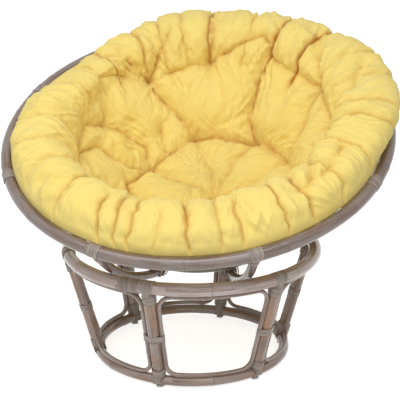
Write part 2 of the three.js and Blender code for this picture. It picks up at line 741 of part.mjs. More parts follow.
function chair() {
  const tiltedBowl = new THREE.Group();
  tiltedBowl.position.z = bowlMiddleHeight;
  tiltedBowl.rotation.x = radians(tilt);
  tiltedBowl.add(bowl(), cushion());
  const whole = new THREE.Group();
  whole.add(base(), tiltedBowl);
  whole.updateMatrixWorld(true);
  const box = new THREE.Box3().setFromObject(whole, true);
  const middle = box.getCenter(new THREE.Vector3());
  whole.position.set(-middle.x, -middle.y, -box.min.z);
  return new THREE.Group().add(whole);
}

export default chair();
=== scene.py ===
import json
import math

import bpy
import numpy as np
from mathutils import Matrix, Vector


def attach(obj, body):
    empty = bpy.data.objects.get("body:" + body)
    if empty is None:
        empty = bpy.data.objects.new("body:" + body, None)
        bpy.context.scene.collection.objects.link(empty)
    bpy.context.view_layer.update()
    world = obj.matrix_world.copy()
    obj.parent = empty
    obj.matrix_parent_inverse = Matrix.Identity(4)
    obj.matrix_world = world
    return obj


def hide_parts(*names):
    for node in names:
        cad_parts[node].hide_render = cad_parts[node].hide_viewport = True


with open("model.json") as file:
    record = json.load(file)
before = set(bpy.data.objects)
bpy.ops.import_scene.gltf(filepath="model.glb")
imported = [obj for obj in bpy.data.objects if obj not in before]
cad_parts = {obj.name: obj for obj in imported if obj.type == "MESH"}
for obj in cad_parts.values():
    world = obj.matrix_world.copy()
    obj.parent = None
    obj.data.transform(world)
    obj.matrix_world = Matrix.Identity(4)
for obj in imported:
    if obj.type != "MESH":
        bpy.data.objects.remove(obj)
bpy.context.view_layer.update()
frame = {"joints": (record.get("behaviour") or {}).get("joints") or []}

rng = np.random.default_rng(7)

# the chair's own sizes, in metres and degrees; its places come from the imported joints
rimRadius = 0.5325
chair = {
    "posts": 6, "firstPost": -8.3,
    "topRing": rimRadius * 0.6479, "topPole": 0.036, "topHeight": 0.314,
    "bottomRing": rimRadius * 0.4957, "bottomPole": 0.028, "bottomHeight": 0.0213,
    "postPole": 0.033, "cane": 0.012, "caneCorner": 0.036, "caneGap": 0.0003,
    "ribs": 8, "firstRib": 25.5, "ribCurve": rimRadius * 1.078, "ribPole": 0.025,
    "rim": rimRadius, "rimPole": 0.035,
    "lowerRing": rimRadius * 0.4789, "lowerPole": 0.024, "ribPastRing": 0.02,
}


# each vector divided by its own length
def unit(v):
    return v / np.linalg.norm(v, axis=-1, keepdims=True)


joints = {joint["name"]: joint for joint in frame["joints"]}
bowlMiddle = np.array(joints["bowl_tilt"]["pos_m"], float)
bowlUp = unit(np.array(joints["cushion_lift"]["axis"], float))
bowlAcross = np.array([1.0, 0.0, 0.0])
bowlBack = np.cross(bowlUp, bowlAcross)
baseAxis = np.array([bowlMiddle[0], bowlMiddle[1], 0.0])
zAxis = np.array([0.0, 0.0, 1.0])
seatSphere = chair["ribCurve"] + chair["ribPole"] / 2 + chair["caneGap"]    # holds the outside of the ribs


# a point of the base, whose axis stands under the middle of the ribs' sphere
def onBase(p):
    return p + baseAxis


# a point in the bowl's own frame, whose origin is the middle of the ribs' sphere
def onBowl(p):
    return bowlMiddle + p[..., :1] * bowlAcross + p[..., 1:2] * bowlBack + p[..., 2:] * bowlUp


# the level direction outwards: sine of the angle to the side, cosine of it to the front
def spoke(angle):
    return np.stack([np.sin(angle), -np.cos(angle), np.zeros_like(angle)], -1)


# the level angle of the post with this number; half a number more is the middle of a window
def postAngle(number):
    return math.radians(chair["firstPost"]) + number * 2 * math.pi / chair["posts"]


# the level angle of the rib with this number
def ribAngle(number):
    return math.radians(chair["firstRib"]) + number * 2 * math.pi / chair["ribs"]


# the angles of a circle's even steps, without its last one, which is its first
def circle(steps):
    return np.linspace(0, 2 * math.pi, steps, endpoint=False)


# Meshes from arrays

# the faces of a grid whose rows run along a piece and whose columns close round it: each joins the corners
# (row, column), (row, next column), (next row, next column) and (next row, column)
def gridFaces(rows, columns, loopAlong):
    i = np.arange(rows if loopAlong else rows - 1)[:, None]
    j = np.arange(columns)[None, :]
    a = i * columns + j
    b = i * columns + (j + 1) % columns
    c = ((i + 1) % rows) * columns + (j + 1) % columns
    d = ((i + 1) % rows) * columns + j
    return np.stack([a, b, c, d], -1).reshape(-1, 4)


# one grid with its faces, its flat ends and the lengths along and round it as UV
def gridPart(points, along, around, loopAlong, marks=None):
    rows, columns = points.shape[:2]
    quads = gridFaces(rows, columns, loopAlong)
    i = np.arange(len(quads)) // columns
    j = np.arange(len(quads)) % columns
    u0, u1 = along[i], along[i + 1]
    v0, v1 = around[j], around[j + 1]
    corners = ((u0, v0), (u0, v1), (u1, v1), (u1, v0))
    uv = np.stack([np.stack(corner, -1) for corner in corners], 1)
    verts = points.reshape(-1, 3)
    marks = np.zeros((len(verts), 2)) if marks is None else marks.reshape(-1, 2)
    caps = []
    if not loopAlong:
        ends = [points[0].mean(0), points[-1].mean(0)]
        verts = np.concatenate([verts, ends])
        marks = np.concatenate([marks, marks[[0, -1]]])
        k = np.arange(columns)
        after = (k + 1) % columns
        last = (rows - 1) * columns
        start, end = np.full(columns, len(verts) - 2), np.full(columns, len(verts) - 1)
        caps = [np.stack([start, after, k], -1), np.stack([end, last + k, last + after], -1)]
    return {"verts": verts, "quads": quads, "uv": uv, "caps": caps, "marks": marks}


# a smooth object of these points and faces, with a number at each point for every attribute
def meshPiece(name, verts, faces, material, **attributes):
    mesh = bpy.data.meshes.new(name)
    mesh.from_pydata(verts.tolist(), [], faces)
    for title, values in attributes.items():
        attribute = mesh.attributes.new(title, "FLOAT", "POINT")
        attribute.data.foreach_set("value", values.astype(np.float32))
    mesh.polygons.foreach_set("use_smooth", [True] * len(mesh.polygons))
    mesh.materials.append(material)
    piece = bpy.data.objects.new(name, mesh)
    bpy.context.scene.collection.objects.link(piece)
    return piece


# puts several grids into one mesh; marks are (joint line, warm patch) at each point
def buildMesh(name, parts, place, material):
    verts, faces, uvs, marks, first = [], [], [], [], 0
    for part in parts:
        verts.append(part["verts"])
        marks.append(part["marks"])
        faces += (part["quads"] + first).tolist()
        uvs.append(part["uv"].reshape(-1, 2))
        for cap in part["caps"]:
            faces += (cap + first).tolist()
            uvs.append(np.zeros((cap.size, 2)))
        first += len(part["verts"])
    marks = np.concatenate(marks)
    piece = meshPiece(name, place(np.concatenate(verts)), faces, material, nodeMark=marks[:, 0],
                      warmth=marks[:, 1])
    layer = piece.data.uv_layers.new(name="UVMap")
    layer.data.foreach_set("uv", np.concatenate(uvs).astype(np.float32).ravel())
    piece.data.validate()
    piece.data.update()
    return piece


# says which body a piece rides on and hides the solids it stands for; the finish it is given is not used
def finishPiece(piece, body, slot, *nodes):
    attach(piece, body)
    if nodes:
        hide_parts(*nodes)


# Lines that poles follow: for a length along, the middle, the direction outwards and the one sideways

# a ring in its own plane: angle = length / radius
def ringLine(radius, height):
    def line(s):
        out = spoke(s / radius)
        centre = out * radius + zAxis * height
        return centre, out, np.broadcast_to(-zAxis, out.shape)
    return line


# a straight post from the bottom ring's middle, s metres up the slant, and how long the slant is
def postLine(angle):
    foot = spoke(angle) * chair["bottomRing"] + zAxis * chair["bottomHeight"]
    head = spoke(angle) * chair["topRing"] + zAxis * chair["topHeight"]
    up = unit(head - foot)
    out = unit(spoke(angle) - up * (spoke(angle) @ up))
    side = np.cross(up, out)

    def line(s):
        s = np.asarray(s, float)
        centre = foot + s[..., None] * up
        return centre, np.broadcast_to(out, centre.shape), np.broadcast_to(side, centre.shape)
    return line, float(np.linalg.norm(head - foot))


# an arc of the bowl's sphere: angle from the bowl's axis = length / sphere radius
def ribLine(angle):
    out = spoke(angle)

    def line(s):
        a = np.asarray(s, float)[..., None] / chair["ribCurve"]
        away = np.sin(a) * out - np.cos(a) * zAxis
        ahead = np.cos(a) * out + np.sin(a) * zAxis
        return away * chair["ribCurve"], away, np.cross(ahead, away)
    return line


canePath = {"cornerSteps": 9, "runSteps": 14, "look": 0.004}    # look: to each side, for the cane's direction


# the cane's closed outline laid flat as (sideways, up the slant): an arc at each corner, then a straight run
def flatCane(lean):
    _, slant = postLine(0.0)
    fromPost = chair["postPole"] / 2 + chair["caneGap"] + chair["cane"] / 2
    low = chair["bottomPole"] / 2 + chair["caneGap"] + chair["cane"] / 2
    high = slant - chair["topPole"] / 2 - chair["caneGap"] - chair["cane"] / 2
    radiusAt = lambda y: chair["bottomRing"] + y * math.sin(lean)
    sideAt = lambda y: radiusAt(y) * (math.pi / chair["posts"] - math.asin(fromPost / radiusAt(y)))
    corners = np.array([[-sideAt(low), low], [sideAt(low), low], [sideAt(high), high], [-sideAt(high), high]])
    turn = np.linspace(0, 1, canePath["cornerSteps"])[:, None]
    steps = np.linspace(0, 1, canePath["runSteps"])[1:-1, None]
    flat = []
    for k in range(4):
        corner, before, after = corners[k], corners[k - 1], corners[(k + 1) % 4]
        into, out = unit(before - corner), unit(after - corner)
        half = math.acos(into @ out) / 2
        reach = chair["caneCorner"] / math.tan(half)
        middle = corner + unit(into + out) * chair["caneCorner"] / math.sin(half)
        first, last = corner + into * reach - middle, corner + out * reach - middle
        start = math.atan2(first[1], first[0])
        a = start + (math.atan2(last[1], last[0]) - start) % (2 * math.pi) * turn
        flat.append(middle + chair["caneCorner"] * np.concatenate([np.cos(a), np.sin(a)], 1))
        runTo = after + unit(corner - after) * reach
        flat.append(corner + out * reach + (runTo - corner - out * reach) * steps)
    return np.concatenate(flat)


# the flat outline laid on the base's cone: angle = sideways / the cone's radius at that height
def caneLine(angle):
    lean = math.atan2(chair["topRing"] - chair["bottomRing"], chair["topHeight"] - chair["bottomHeight"])
    flat = flatCane(lean)
    radius = chair["bottomRing"] + flat[:, 1] * math.sin(lean)
    a = angle + flat[:, 0] / radius
    points = spoke(a) * radius[:, None] + zAxis * (chair["bottomHeight"] + flat[:, 1:] * math.cos(lean))
    outward = spoke(a) * math.cos(lean) - zAxis * math.sin(lean)
    gaps = np.linalg.norm(np.roll(points, -1, 0) - points, axis=1)
    at = np.concatenate([[0], np.cumsum(gaps)])
    points, outward = np.concatenate([points, points[:1]]), np.concatenate([outward, outward[:1]])

    def line(s):
        s = np.asarray(s, float) % at[-1]
        pick = lambda table, q: np.stack([np.interp(q % at[-1], at, table[:, k]) for k in range(3)], -1)
        ahead = unit(pick(points, s + canePath["look"]) - pick(points, s - canePath["look"]))
        out = pick(outward, s)
        out = unit(out - ahead * (out * ahead).sum(-1, keepdims=True))
        return pick(points, s), out, np.cross(ahead, out)
    return line, float(at[-1])


# Rattan poles

rattan = {
    "nodeGap": (0.15, 0.27), "firstNode": (0.04, 0.16), "lastNode": 0.03,           # where its joints lie
    "nodeSwell": 0.0007, "nodeWidth": 0.007, "nodeCut": 0.0005, "nodeCutWidth": 0.0014, "markWidth": 0.0026,
    "rowGap": 0.008, "leastRows": 4, "nodeRoom": 0.009, "endRoom": 0.001,
    "nodeRows": np.array([-8, -5, -3, -1.7, -0.8, 0, 0.8, 1.7, 3, 5, 8]) * 0.001,   # rows beside a joint
    "waver": 0.0004, "waverRate": 19, "oval": 0.008, "phase": 6, "warmEnd": 2.5,
    "shiftAlong": 40, "shiftRound": 5,
}


# where a pole's joints lie along its length
def nodePlaces(length):
    places, at = [], rng.uniform(*rattan["firstNode"])
    while at < length - rattan["lastNode"]:
        places.append(at)
        at += rng.uniform(*rattan["nodeGap"])
    return np.array(places)


# even rows along a pole, and closer ones at its joints, so that their lines are cut in the mesh
def poleRows(length, places):
    even = np.linspace(0, length, max(rattan["leastRows"], int(length / rattan["rowGap"])))
    if len(places) == 0:
        return even
    near = (places[:, None] + rattan["nodeRows"]).ravel()
    near = near[(near > rattan["endRoom"]) & (near < length - rattan["endRoom"])]
    keep = np.abs(even[:, None] - places).min(1) > rattan["nodeRoom"]
    keep[[0, -1]] = True
    return np.unique(np.concatenate([even[keep], near]))


# radius = pole + slow waver + a swelling with a fine cut at each joint
def poleRadius(s, radius, places, phase):
    r = np.full(s.shape, radius)
    r += rattan["waver"] * np.sin(s * rattan["waverRate"] + phase)
    mark = np.zeros(s.shape)
    bell = lambda away, width: np.exp(-(away / width) ** 2)
    for away in (s - place for place in places):
        r += rattan["nodeSwell"] * bell(away, rattan["nodeWidth"])
        r -= rattan["nodeCut"] * bell(away, rattan["nodeCutWidth"])
        mark = np.maximum(mark, bell(away, rattan["markWidth"]))
    return r, mark


# a round pole on a line: middle + radius * (cosine outwards + sine sideways)
# lo and hi give each side's own start and end, so that ends can be shaped; fadeEnds keeps its warm patches
# to the middle, and a pole that slides on another is nowhere thicker than its radius
def pole(line, length, radius, sides, warm, loop=False, lo=None, hi=None, fadeEnds=False, slides=False):
    places = nodePlaces(length)
    rows = poleRows(length, places)
    if loop:
        rows = rows[:-1]
    turn = circle(sides)
    s = np.broadcast_to(rows[:, None], (len(rows), sides)).copy()
    if lo is not None:
        s = lo + s / length * (hi - lo)
    r, mark = poleRadius(s, radius, places, rng.uniform(0, rattan["phase"]))
    r = r * (1 + rattan["oval"] * np.cos(2 * turn + rng.uniform(0, rattan["phase"])))
    r = np.minimum(r, radius) if slides else r
    centre, out, side = line(s)
    points = centre + r[..., None] * (np.cos(turn)[:, None] * out + np.sin(turn)[:, None] * side)
    along = np.append(rows, length) + rng.uniform(0, rattan["shiftAlong"])
    around = np.linspace(0, 2 * math.pi * radius, sides + 1) + rng.uniform(0, rattan["shiftRound"])
    middle = 1 - np.abs(2 * s / length - 1) ** rattan["warmEnd"] if fadeEnds else np.ones(s.shape)
    return gridPart(points, along, around, loop, np.stack([mark, warm * middle], -1))


meeting = {"halvings": 24, "gap": 0.0002}


# the length at which each side of a pole meets a ring of pole, found by halving
def meetRing(line, radius, sides, start, end, ringRadius, ringHeight, ringPole):
    turn = circle(sides)
    free, sunk = np.full(sides, start, float), np.full(sides, end, float)
    for _ in range(meeting["halvings"]):
        s = (free + sunk) / 2
        centre, out, side = line(s)
        p = centre + radius * (np.cos(turn)[:, None] * out + np.sin(turn)[:, None] * side)
        away = np.hypot(np.hypot(p[:, 0], p[:, 1]) - ringRadius, p[:, 2] - ringHeight)
        outside = away > ringPole + meeting["gap"]
        free, sunk = np.where(outside, s, free), np.where(outside, sunk, s)
    return free


# Peel strands

strand = {
    "width": 0.0058, "thick": 0.0013, "gap": 0.0003, "corners": 8, "square": 0.6,
    "tuckTurns": 0.2, "tuckDepth": 0.9, "shiftAlong": 30, "shiftRound": 3,
    "fanSteps": 46, "fanTilt": 0.06, "fanSkew": 0.004, "fanNarrow": 0.62, "fanOpen": 0.35, "fanSlab": 0.35,
    "sphereRoom": 0.0001,
}
strandPitch = strand["width"] + strand["gap"]


# a flat strand with rounded edges along a line of points: an oval section, squared a little
def ribbon(points, normals, loop=False):
    width, thick = strand["width"], strand["thick"]
    ahead = np.roll(points, -1, 0) - np.roll(points, 1, 0) if loop else np.gradient(points, axis=0)
    ahead = unit(ahead)
    normals = unit(normals - ahead * (normals * ahead).sum(-1, keepdims=True))
    side = np.cross(ahead, normals)
    turn = circle(strand["corners"]) + math.pi / strand["corners"]
    squared = lambda x: np.sign(x) * np.abs(x) ** strand["square"]
    high, wide = thick / 2 * squared(np.cos(turn)), width / 2 * squared(np.sin(turn))
    grid = points[:, None] + high[:, None] * normals[:, None] + wide[:, None] * side[:, None]
    gaps = np.linalg.norm(np.diff(points, axis=0), axis=1)
    along = np.concatenate([[0], np.cumsum(gaps), [gaps.sum() + gaps[-1]]])
    along += rng.uniform(0, strand["shiftAlong"])
    around = np.linspace(0, 2 * (width + thick), strand["corners"] + 1) + rng.uniform(0, strand["shiftRound"])
    return gridPart(grid, along, around, loop)


# how far a wound strand's middle lies off what it is wound on: half its thickness, sunk at both ends
def tuckedLift(t, turns):
    tuck = np.minimum(1, np.minimum(t, turns - t) / strand["tuckTurns"])
    return strand["thick"] * (0.5 - strand["tuckDepth"] * (1 - tuck))


# one strand wound round a closed outline while it climbs along z, its ends tucked under
def wound(outline, outlineNormals, frameAt, low, high):
    turns = max(2, round((high - low) / strandPitch))
    steps = len(outline)
    t = np.arange(turns * steps + 1) / steps
    k = np.arange(len(t)) % steps
    climb = low + strand["width"] / 2 + (high - low - strand["width"]) * t / turns
    flat = outline[k] + outlineNormals[k] * tuckedLift(t, turns)[:, None]
    origin, x, y, z = frameAt
    points = origin + flat[:, :1] * x + flat[:, 1:] * y + climb[:, None] * z
    return ribbon(points, outlineNormals[k][:, :1] * x + outlineNormals[k][:, 1:] * y)


# a circle and its outward directions
def circleOutline(radius, steps):
    ring = np.stack([np.cos(circle(steps)), np.sin(circle(steps))], -1)
    return ring * radius, ring


# the tight outline round a post and the cane on each side of it: four arcs that touch end to end
def tripleOutline(middleRadius, sideRadius, apart, steps):
    lean = math.acos((middleRadius - sideRadius) / apart)
    arcs = [(apart, sideRadius, -lean, lean), (0, middleRadius, lean, math.pi - lean),
            (-apart, sideRadius, math.pi - lean, math.pi + lean),
            (0, middleRadius, math.pi + lean, 2 * math.pi - lean)]
    points, normals = [], []
    for centre, radius, start, end in arcs:
        a = np.linspace(start, end, steps)
        ring = np.stack([np.cos(a), np.sin(a)], -1)
        points.append(ring * radius + np.array([centre, 0]))
        normals.append(ring)
    return np.concatenate(points), np.concatenate(normals)


# strands laid over a ring and down both sides of the pole that meets it, fanned out on the ring
# a runs round the ring's section from one side of the pole, over the ring, to the other side
def fan(ringRadius, poleRadius, reach, count, spread, frameAt, keepOff=None):
    origin, across, out, up = frameAt
    drop = math.atan2(reach, poleRadius)
    a = np.linspace(-drop, math.pi + drop, strand["fanSteps"])
    section = np.stack([np.cos(a), np.sin(a)], -1)
    opening = strand["fanNarrow"] + (1 - strand["fanNarrow"]) * np.clip(np.sin(a) + strand["fanOpen"], 0, 1)
    parts = []
    for k in range(count):
        share = (k + 0.5) / count * 2 - 1
        skew = rng.normal(0, strand["fanTilt"]) * strand["fanSkew"]
        x = spread / 2 * share * opening + skew * np.cos(a)
        slab = np.sqrt(np.maximum(poleRadius ** 2 - x ** 2, (strand["fanSlab"] * poleRadius) ** 2))
        below = np.where(np.sin(a) < 0, slab / np.maximum(np.abs(np.cos(a)), 1e-6), 0)
        distance = np.maximum(ringRadius, below) + strand["thick"] / 2
        distance[[0, -1]] -= strand["thick"]
        flat = section[:, :1] * out + section[:, 1:] * up
        points = origin + x[:, None] * across + flat * distance[:, None]
        if keepOff is not None:
            points = keepOff(points, strand["thick"] / 2)
        ahead = unit(np.gradient(points, axis=0))
        normals = -unit(np.cross(np.broadcast_to(across, ahead.shape), ahead))
        facing = ((points - origin) * normals).sum(-1).mean()
        parts.append(ribbon(points, normals if facing > 0 else -normals))
    return parts


# keeps strands outside the sphere that the ribs slide on
def offSphere(points, room):
    middle = zAxis * bowlMiddle[2]
    away = points - middle
    distance = np.linalg.norm(away, axis=-1, keepdims=True)
    return middle + away / distance * np.maximum(distance, seatSphere + room + strand["sphereRoom"])


# Materials

# a material with no nodes yet, and the tree for them
def newMaterial(name):
    material = bpy.data.materials.new(name)
    material.use_nodes = True
    material.node_tree.nodes.clear()
    return material, material.node_tree


# a node whose constants and settings are given by name
def addNode(tree, kind, **values):
    node = tree.nodes.new(kind)
    for key, value in values.items():
        if key in node.inputs:
            node.inputs[key].default_value = value
        else:
            setattr(node, key, value)
    return node


# joins an output of one node to a socket of another
def link(tree, source, output, target, socket):
    tree.links.new(source.outputs[output], target.inputs[socket])


# puts a constant or another node's output into each socket, by its name or its number
def feed(tree, node, values):
    for key, value in values.items():
        socket = node.inputs[key]
        if isinstance(value, bpy.types.NodeSocket):
            tree.links.new(value, socket)
        else:
            socket.default_value = (*value, 1) if isinstance(value, tuple) else value
    return node


# a noise pattern at the places that a socket gives
def noiseAt(tree, places, scale, detail, **values):
    node = addNode(tree, "ShaderNodeTexNoise", Scale=scale, Detail=detail, **values)
    tree.links.new(places, node.inputs["Vector"])
    return node.outputs["Fac"]


# stretches or squeezes the places that a socket gives
def scaled(tree, places, scale):
    node = addNode(tree, "ShaderNodeMapping", Scale=scale)
    tree.links.new(places, node.inputs["Vector"])
    return node.outputs["Vector"]


# one colour below the first place of a pattern's values, another above the second, a blend between
def ramp(tree, pattern, low, high, lowColour=(0, 0, 0), highColour=(1, 1, 1)):
    node = tree.nodes.new("ShaderNodeValToRGB")
    stops = ((low, lowColour), (high, highColour))
    for element, (place, colour) in zip(node.color_ramp.elements, stops):
        element.position = place
        element.color = (*colour, 1)
    tree.links.new(pattern, node.inputs["Fac"])
    return node.outputs["Color"]


# first colour * (1 - factor) + second * factor, or that share of another way to blend them
def mixColours(tree, factor, first, second, blend="MIX"):
    node = addNode(tree, "ShaderNodeMix", data_type="RGBA", blend_type=blend)
    return feed(tree, node, {0: factor, 6: first, 7: second}).outputs[2]


# one operation on up to three numbers or outputs
def mathNode(tree, operation, first, second, third=0.0, clamp=False):
    node = addNode(tree, "ShaderNodeMath", operation=operation, use_clamp=clamp)
    return feed(tree, node, {0: first, 1: second, 2: third}).outputs[0]


# the value that a piece's mesh carries at each point
def carried(tree, title):
    return addNode(tree, "ShaderNodeAttribute", attribute_name=title).outputs["Fac"]


# the shader of a finish, with a constant or a node's output for each socket by its name
def finishShader(tree, values):
    shader = feed(tree, tree.nodes.new("ShaderNodeBsdfPrincipled"), values)
    link(tree, shader, "BSDF", addNode(tree, "ShaderNodeOutputMaterial"), "Surface")


rattanLook = {
    "wash": (0.37, 0.305, 0.27), "brown": (0.21, 0.135, 0.095), "warm": (0.40, 0.2, 0.095),
    "streak": (0.42, 0.33, 0.28), "joint": (0.08, 0.05, 0.036),
    "washed": 0.85, "washedOffWarm": 0.55, "streaked": 0.5, "jointDark": 0.32,
    "washFrom": 0.41, "washTo": 0.57, "warmFrom": 0.4, "warmTo": 0.58, "streakFrom": 0.34, "streakTo": 0.54,
    "streakScale": (7.0, 240.0, 1.0), "bandScale": (6.0, 50.0, 1.0), "patchScale": 14.0,
    "streakDetail": 5.0, "bandDetail": 4.0, "patchDetail": 4.0, "streakFine": 0.62, "noiseFine": 0.6,
    "roughness": 0.38, "roughStreak": 0.22, "grain": 0.3, "grainDepth": 0.0006,
    "specular": 0.25, "coat": 0.9, "coatRoughness": 0.13, "coatIndex": 1.55,
}


# greyed rattan: brown cane with warm patches, a grey wash in bands along it, dark joint lines, varnish
def makeRattan(name, **changes):
    look = {**rattanLook, **changes}
    material, tree = newMaterial(name)
    lengths = addNode(tree, "ShaderNodeUVMap", uv_map="UVMap").outputs["UV"]
    place = addNode(tree, "ShaderNodeTexCoord").outputs["Object"]
    fine = look["noiseFine"]
    streak = noiseAt(tree, scaled(tree, lengths, look["streakScale"]), 1.0, look["streakDetail"],
                     Roughness=look["streakFine"])
    band = noiseAt(tree, scaled(tree, lengths, look["bandScale"]), 1.0, look["bandDetail"], Roughness=fine)
    patch = noiseAt(tree, place, look["patchScale"], look["patchDetail"], Roughness=fine)
    washing = ramp(tree, band, look["washFrom"], look["washTo"])
    patches = ramp(tree, patch, look["warmFrom"], look["warmTo"])
    warmth = mathNode(tree, "MULTIPLY", carried(tree, "warmth"), patches, clamp=True)
    under = mixColours(tree, warmth, look["brown"], look["warm"])
    cover = mathNode(tree, "MULTIPLY_ADD", warmth, -look["washedOffWarm"], look["washed"])
    washed = mixColours(tree, mathNode(tree, "MULTIPLY", washing, cover, clamp=True), under, look["wash"])
    streaks = ramp(tree, streak, look["streakFrom"], look["streakTo"], look["streak"])
    streaked = mixColours(tree, look["streaked"], washed, streaks, "MULTIPLY")
    joint = mathNode(tree, "MULTIPLY", carried(tree, "nodeMark"), look["jointDark"])
    bump = addNode(tree, "ShaderNodeBump", Strength=look["grain"], Distance=look["grainDepth"])
    tree.links.new(streak, bump.inputs["Height"])
    finishShader(tree, {
        "Base Color": mixColours(tree, joint, streaked, look["joint"]), "Normal": bump.outputs["Normal"],
        "Roughness": mathNode(tree, "MULTIPLY_ADD", streak, look["roughStreak"], look["roughness"]),
        "Specular IOR Level": look["specular"], "Coat Weight": look["coat"],
        "Coat Roughness": look["coatRoughness"], "Coat IOR": look["coatIndex"],
    })
    return material


rattanMaterial = makeRattan("greyed rattan")
# a darker copy for the bowl's rim, lower ring and ribs: partly the bowl's own darker tone and partly painted
# shade
shadedBowlMaterial = makeRattan("greyed rattan of the bowl with painted shade", wash=(0.24, 0.19, 0.17), brown=(0.125, 0.078, 0.056),
                         warm=(0.27, 0.14, 0.075), coat=1.0)
# a lighter, greyer copy for the top ring: painted light for the light it catches on its top and front,
# lifting it out of the bowl's shade
paintedLightTopMaterial = makeRattan("greyed rattan of the top ring with painted light", wash=(0.56, 0.475, 0.46), brown=(0.3, 0.215, 0.18),
                         warm=(0.46, 0.27, 0.16), coat=1.0)
peelMaterial = makeRattan("wound peel", wash=(0.40, 0.35, 0.315), brown=(0.26, 0.2, 0.165),
                          warm=(0.35, 0.25, 0.18), roughness=0.45, coat=0.4, coatRoughness=0.2,
                          streakScale=(7.0, 900.0, 1.0))

glideLook = {
    "dark": (0.52, 0.49, 0.45), "pale": (0.68, 0.66, 0.62), "darkTo": 0.35, "paleFrom": 0.6,
    "mottleScale": 160.0, "mottleDetail": 4.0, "roughness": 0.48,
}


# pale moulded plastic with a little grime in a soft mottle
def makeGlideMaterial():
    look = glideLook
    material, tree = newMaterial("glide plastic")
    place = addNode(tree, "ShaderNodeTexCoord").outputs["Object"]
    mottle = noiseAt(tree, place, look["mottleScale"], look["mottleDetail"])
    tones = ramp(tree, mottle, look["darkTo"], look["paleFrom"], look["dark"], look["pale"])
    finishShader(tree, {"Base Color": tones, "Roughness": look["roughness"]})
    return material


glideMaterial = makeGlideMaterial()


# Base

base = {
    "ringSides": 28, "postSides": 24, "caneSides": 14,
    "ringWarmth": 0.45, "postWarmth": 1.0, "caneWarmth": 0.2,
    "meetFrom": 0.3,          # the share of a post, at each end, where its meeting with the ring is sought
    "fanStrands": 7, "fanSpread": 0.038, "headReach": 0.022, "headStart": 0.001, "headTurns": 0.03,
    "footStrands": 6, "footSpread": 0.034, "footReach": 0.02, "footStart": 0.002, "footTurns": 0.03,
    "midWrapHeight": 0.026, "midWrapShare": 0.47, "wrapSteps": 30, "tripleSteps": 9, "wrapLift": 0.9,
    "spliceFrom": -0.084, "spliceTo": -0.024,
}


# both rings of the base
def makeRings():
    # the top ring takes the lighter copy of the rattan, painted light
    rings = (("top_ring", chair["topRing"], chair["topPole"], chair["topHeight"], paintedLightTopMaterial),
             ("bottom_ring", chair["bottomRing"], chair["bottomPole"], chair["bottomHeight"], rattanMaterial))
    for name, radius, size, height, material in rings:
        part = pole(ringLine(radius, height), 2 * math.pi * radius, size / 2, base["ringSides"],
                    base["ringWarmth"], True, slides=name == "top_ring")
        finishPiece(buildMesh(f"{name}_pole", [part], onBase, material), "base", "rattan", f"base_{name}")


# a post whose sides each end where they meet the rings
def makePost(index):
    line, slant = postLine(postAngle(index))
    radius, sides = chair["postPole"] / 2, base["postSides"]
    hi = meetRing(line, radius, sides, slant * (1 - base["meetFrom"]), slant, chair["topRing"],
                  chair["topHeight"], chair["topPole"] / 2)
    lo = meetRing(line, radius, sides, slant * base["meetFrom"], 0, chair["bottomRing"],
                  chair["bottomHeight"], chair["bottomPole"] / 2)
    part = pole(line, slant, radius, sides, base["postWarmth"], lo=lo, hi=hi, fadeEnds=True)
    name = f"post_{index + 1}"
    finishPiece(buildMesh(f"{name}_pole", [part], onBase, rattanMaterial), "base", "rattan", name)


# the thin cane in the window after a post
def makeCane(index):
    line, length = caneLine(postAngle(index + 0.5))
    part = pole(line, length, chair["cane"] / 2, base["caneSides"], base["caneWarmth"], True)
    name = f"window_cane_{index + 1}"
    finishPiece(buildMesh(f"{name}_loop", [part], onBase, rattanMaterial), "base", "rattan", name)


# the frame of a post: origin at its foot, then sideways, outwards and along it
def postFrame(angle):
    line, slant = postLine(angle)
    foot, out, side = line(0.0)
    return foot, -side, out, unit(line(slant)[0] - foot), slant


# the peel of a post: strands over each ring with turns below them, and turns round post and canes
def makeWraps(index):
    angle = postAngle(index)
    foot, side, out, up, slant = postFrame(angle)
    frameAt = (foot, side, out, up)
    across = np.cross(zAxis, spoke(angle))
    postRadius, caneRadius = chair["postPole"] / 2, chair["cane"] / 2
    wider, normals = circleOutline(postRadius + strand["thick"] * base["wrapLift"], base["wrapSteps"])

    ringRoom = chair["topPole"] / 2
    head = fan(ringRoom, postRadius, ringRoom + base["headReach"], base["fanStrands"], base["fanSpread"],
               (foot + up * slant, across, out, up), offSphere)
    head.append(wound(wider, normals, frameAt, slant - ringRoom - base["headTurns"],
                      slant - ringRoom - base["headStart"]))
    if index == 0:
        head.append(spliceWrap())

    triple, tripleNormals = tripleOutline(postRadius, caneRadius, postRadius + chair["caneGap"] + caneRadius,
                                          base["tripleSteps"])
    middle = slant * base["midWrapShare"]
    mid = wound(triple, tripleNormals, frameAt, middle - base["midWrapHeight"] / 2,
                middle + base["midWrapHeight"] / 2)

    ringRoom = chair["bottomPole"] / 2
    low = fan(ringRoom, postRadius, ringRoom + base["footReach"], base["footStrands"], base["footSpread"],
              (foot, across, out, -up))
    low.append(wound(wider, normals, frameAt, ringRoom + base["footStart"], ringRoom + base["footTurns"]))
    for place, parts in (("top", head), ("mid", [mid]), ("bottom", low)):
        name = f"{place}_binding_{index + 1}"
        finishPiece(buildMesh(f"{name}_strands", parts, onBase, peelMaterial), "base", "peel", name)


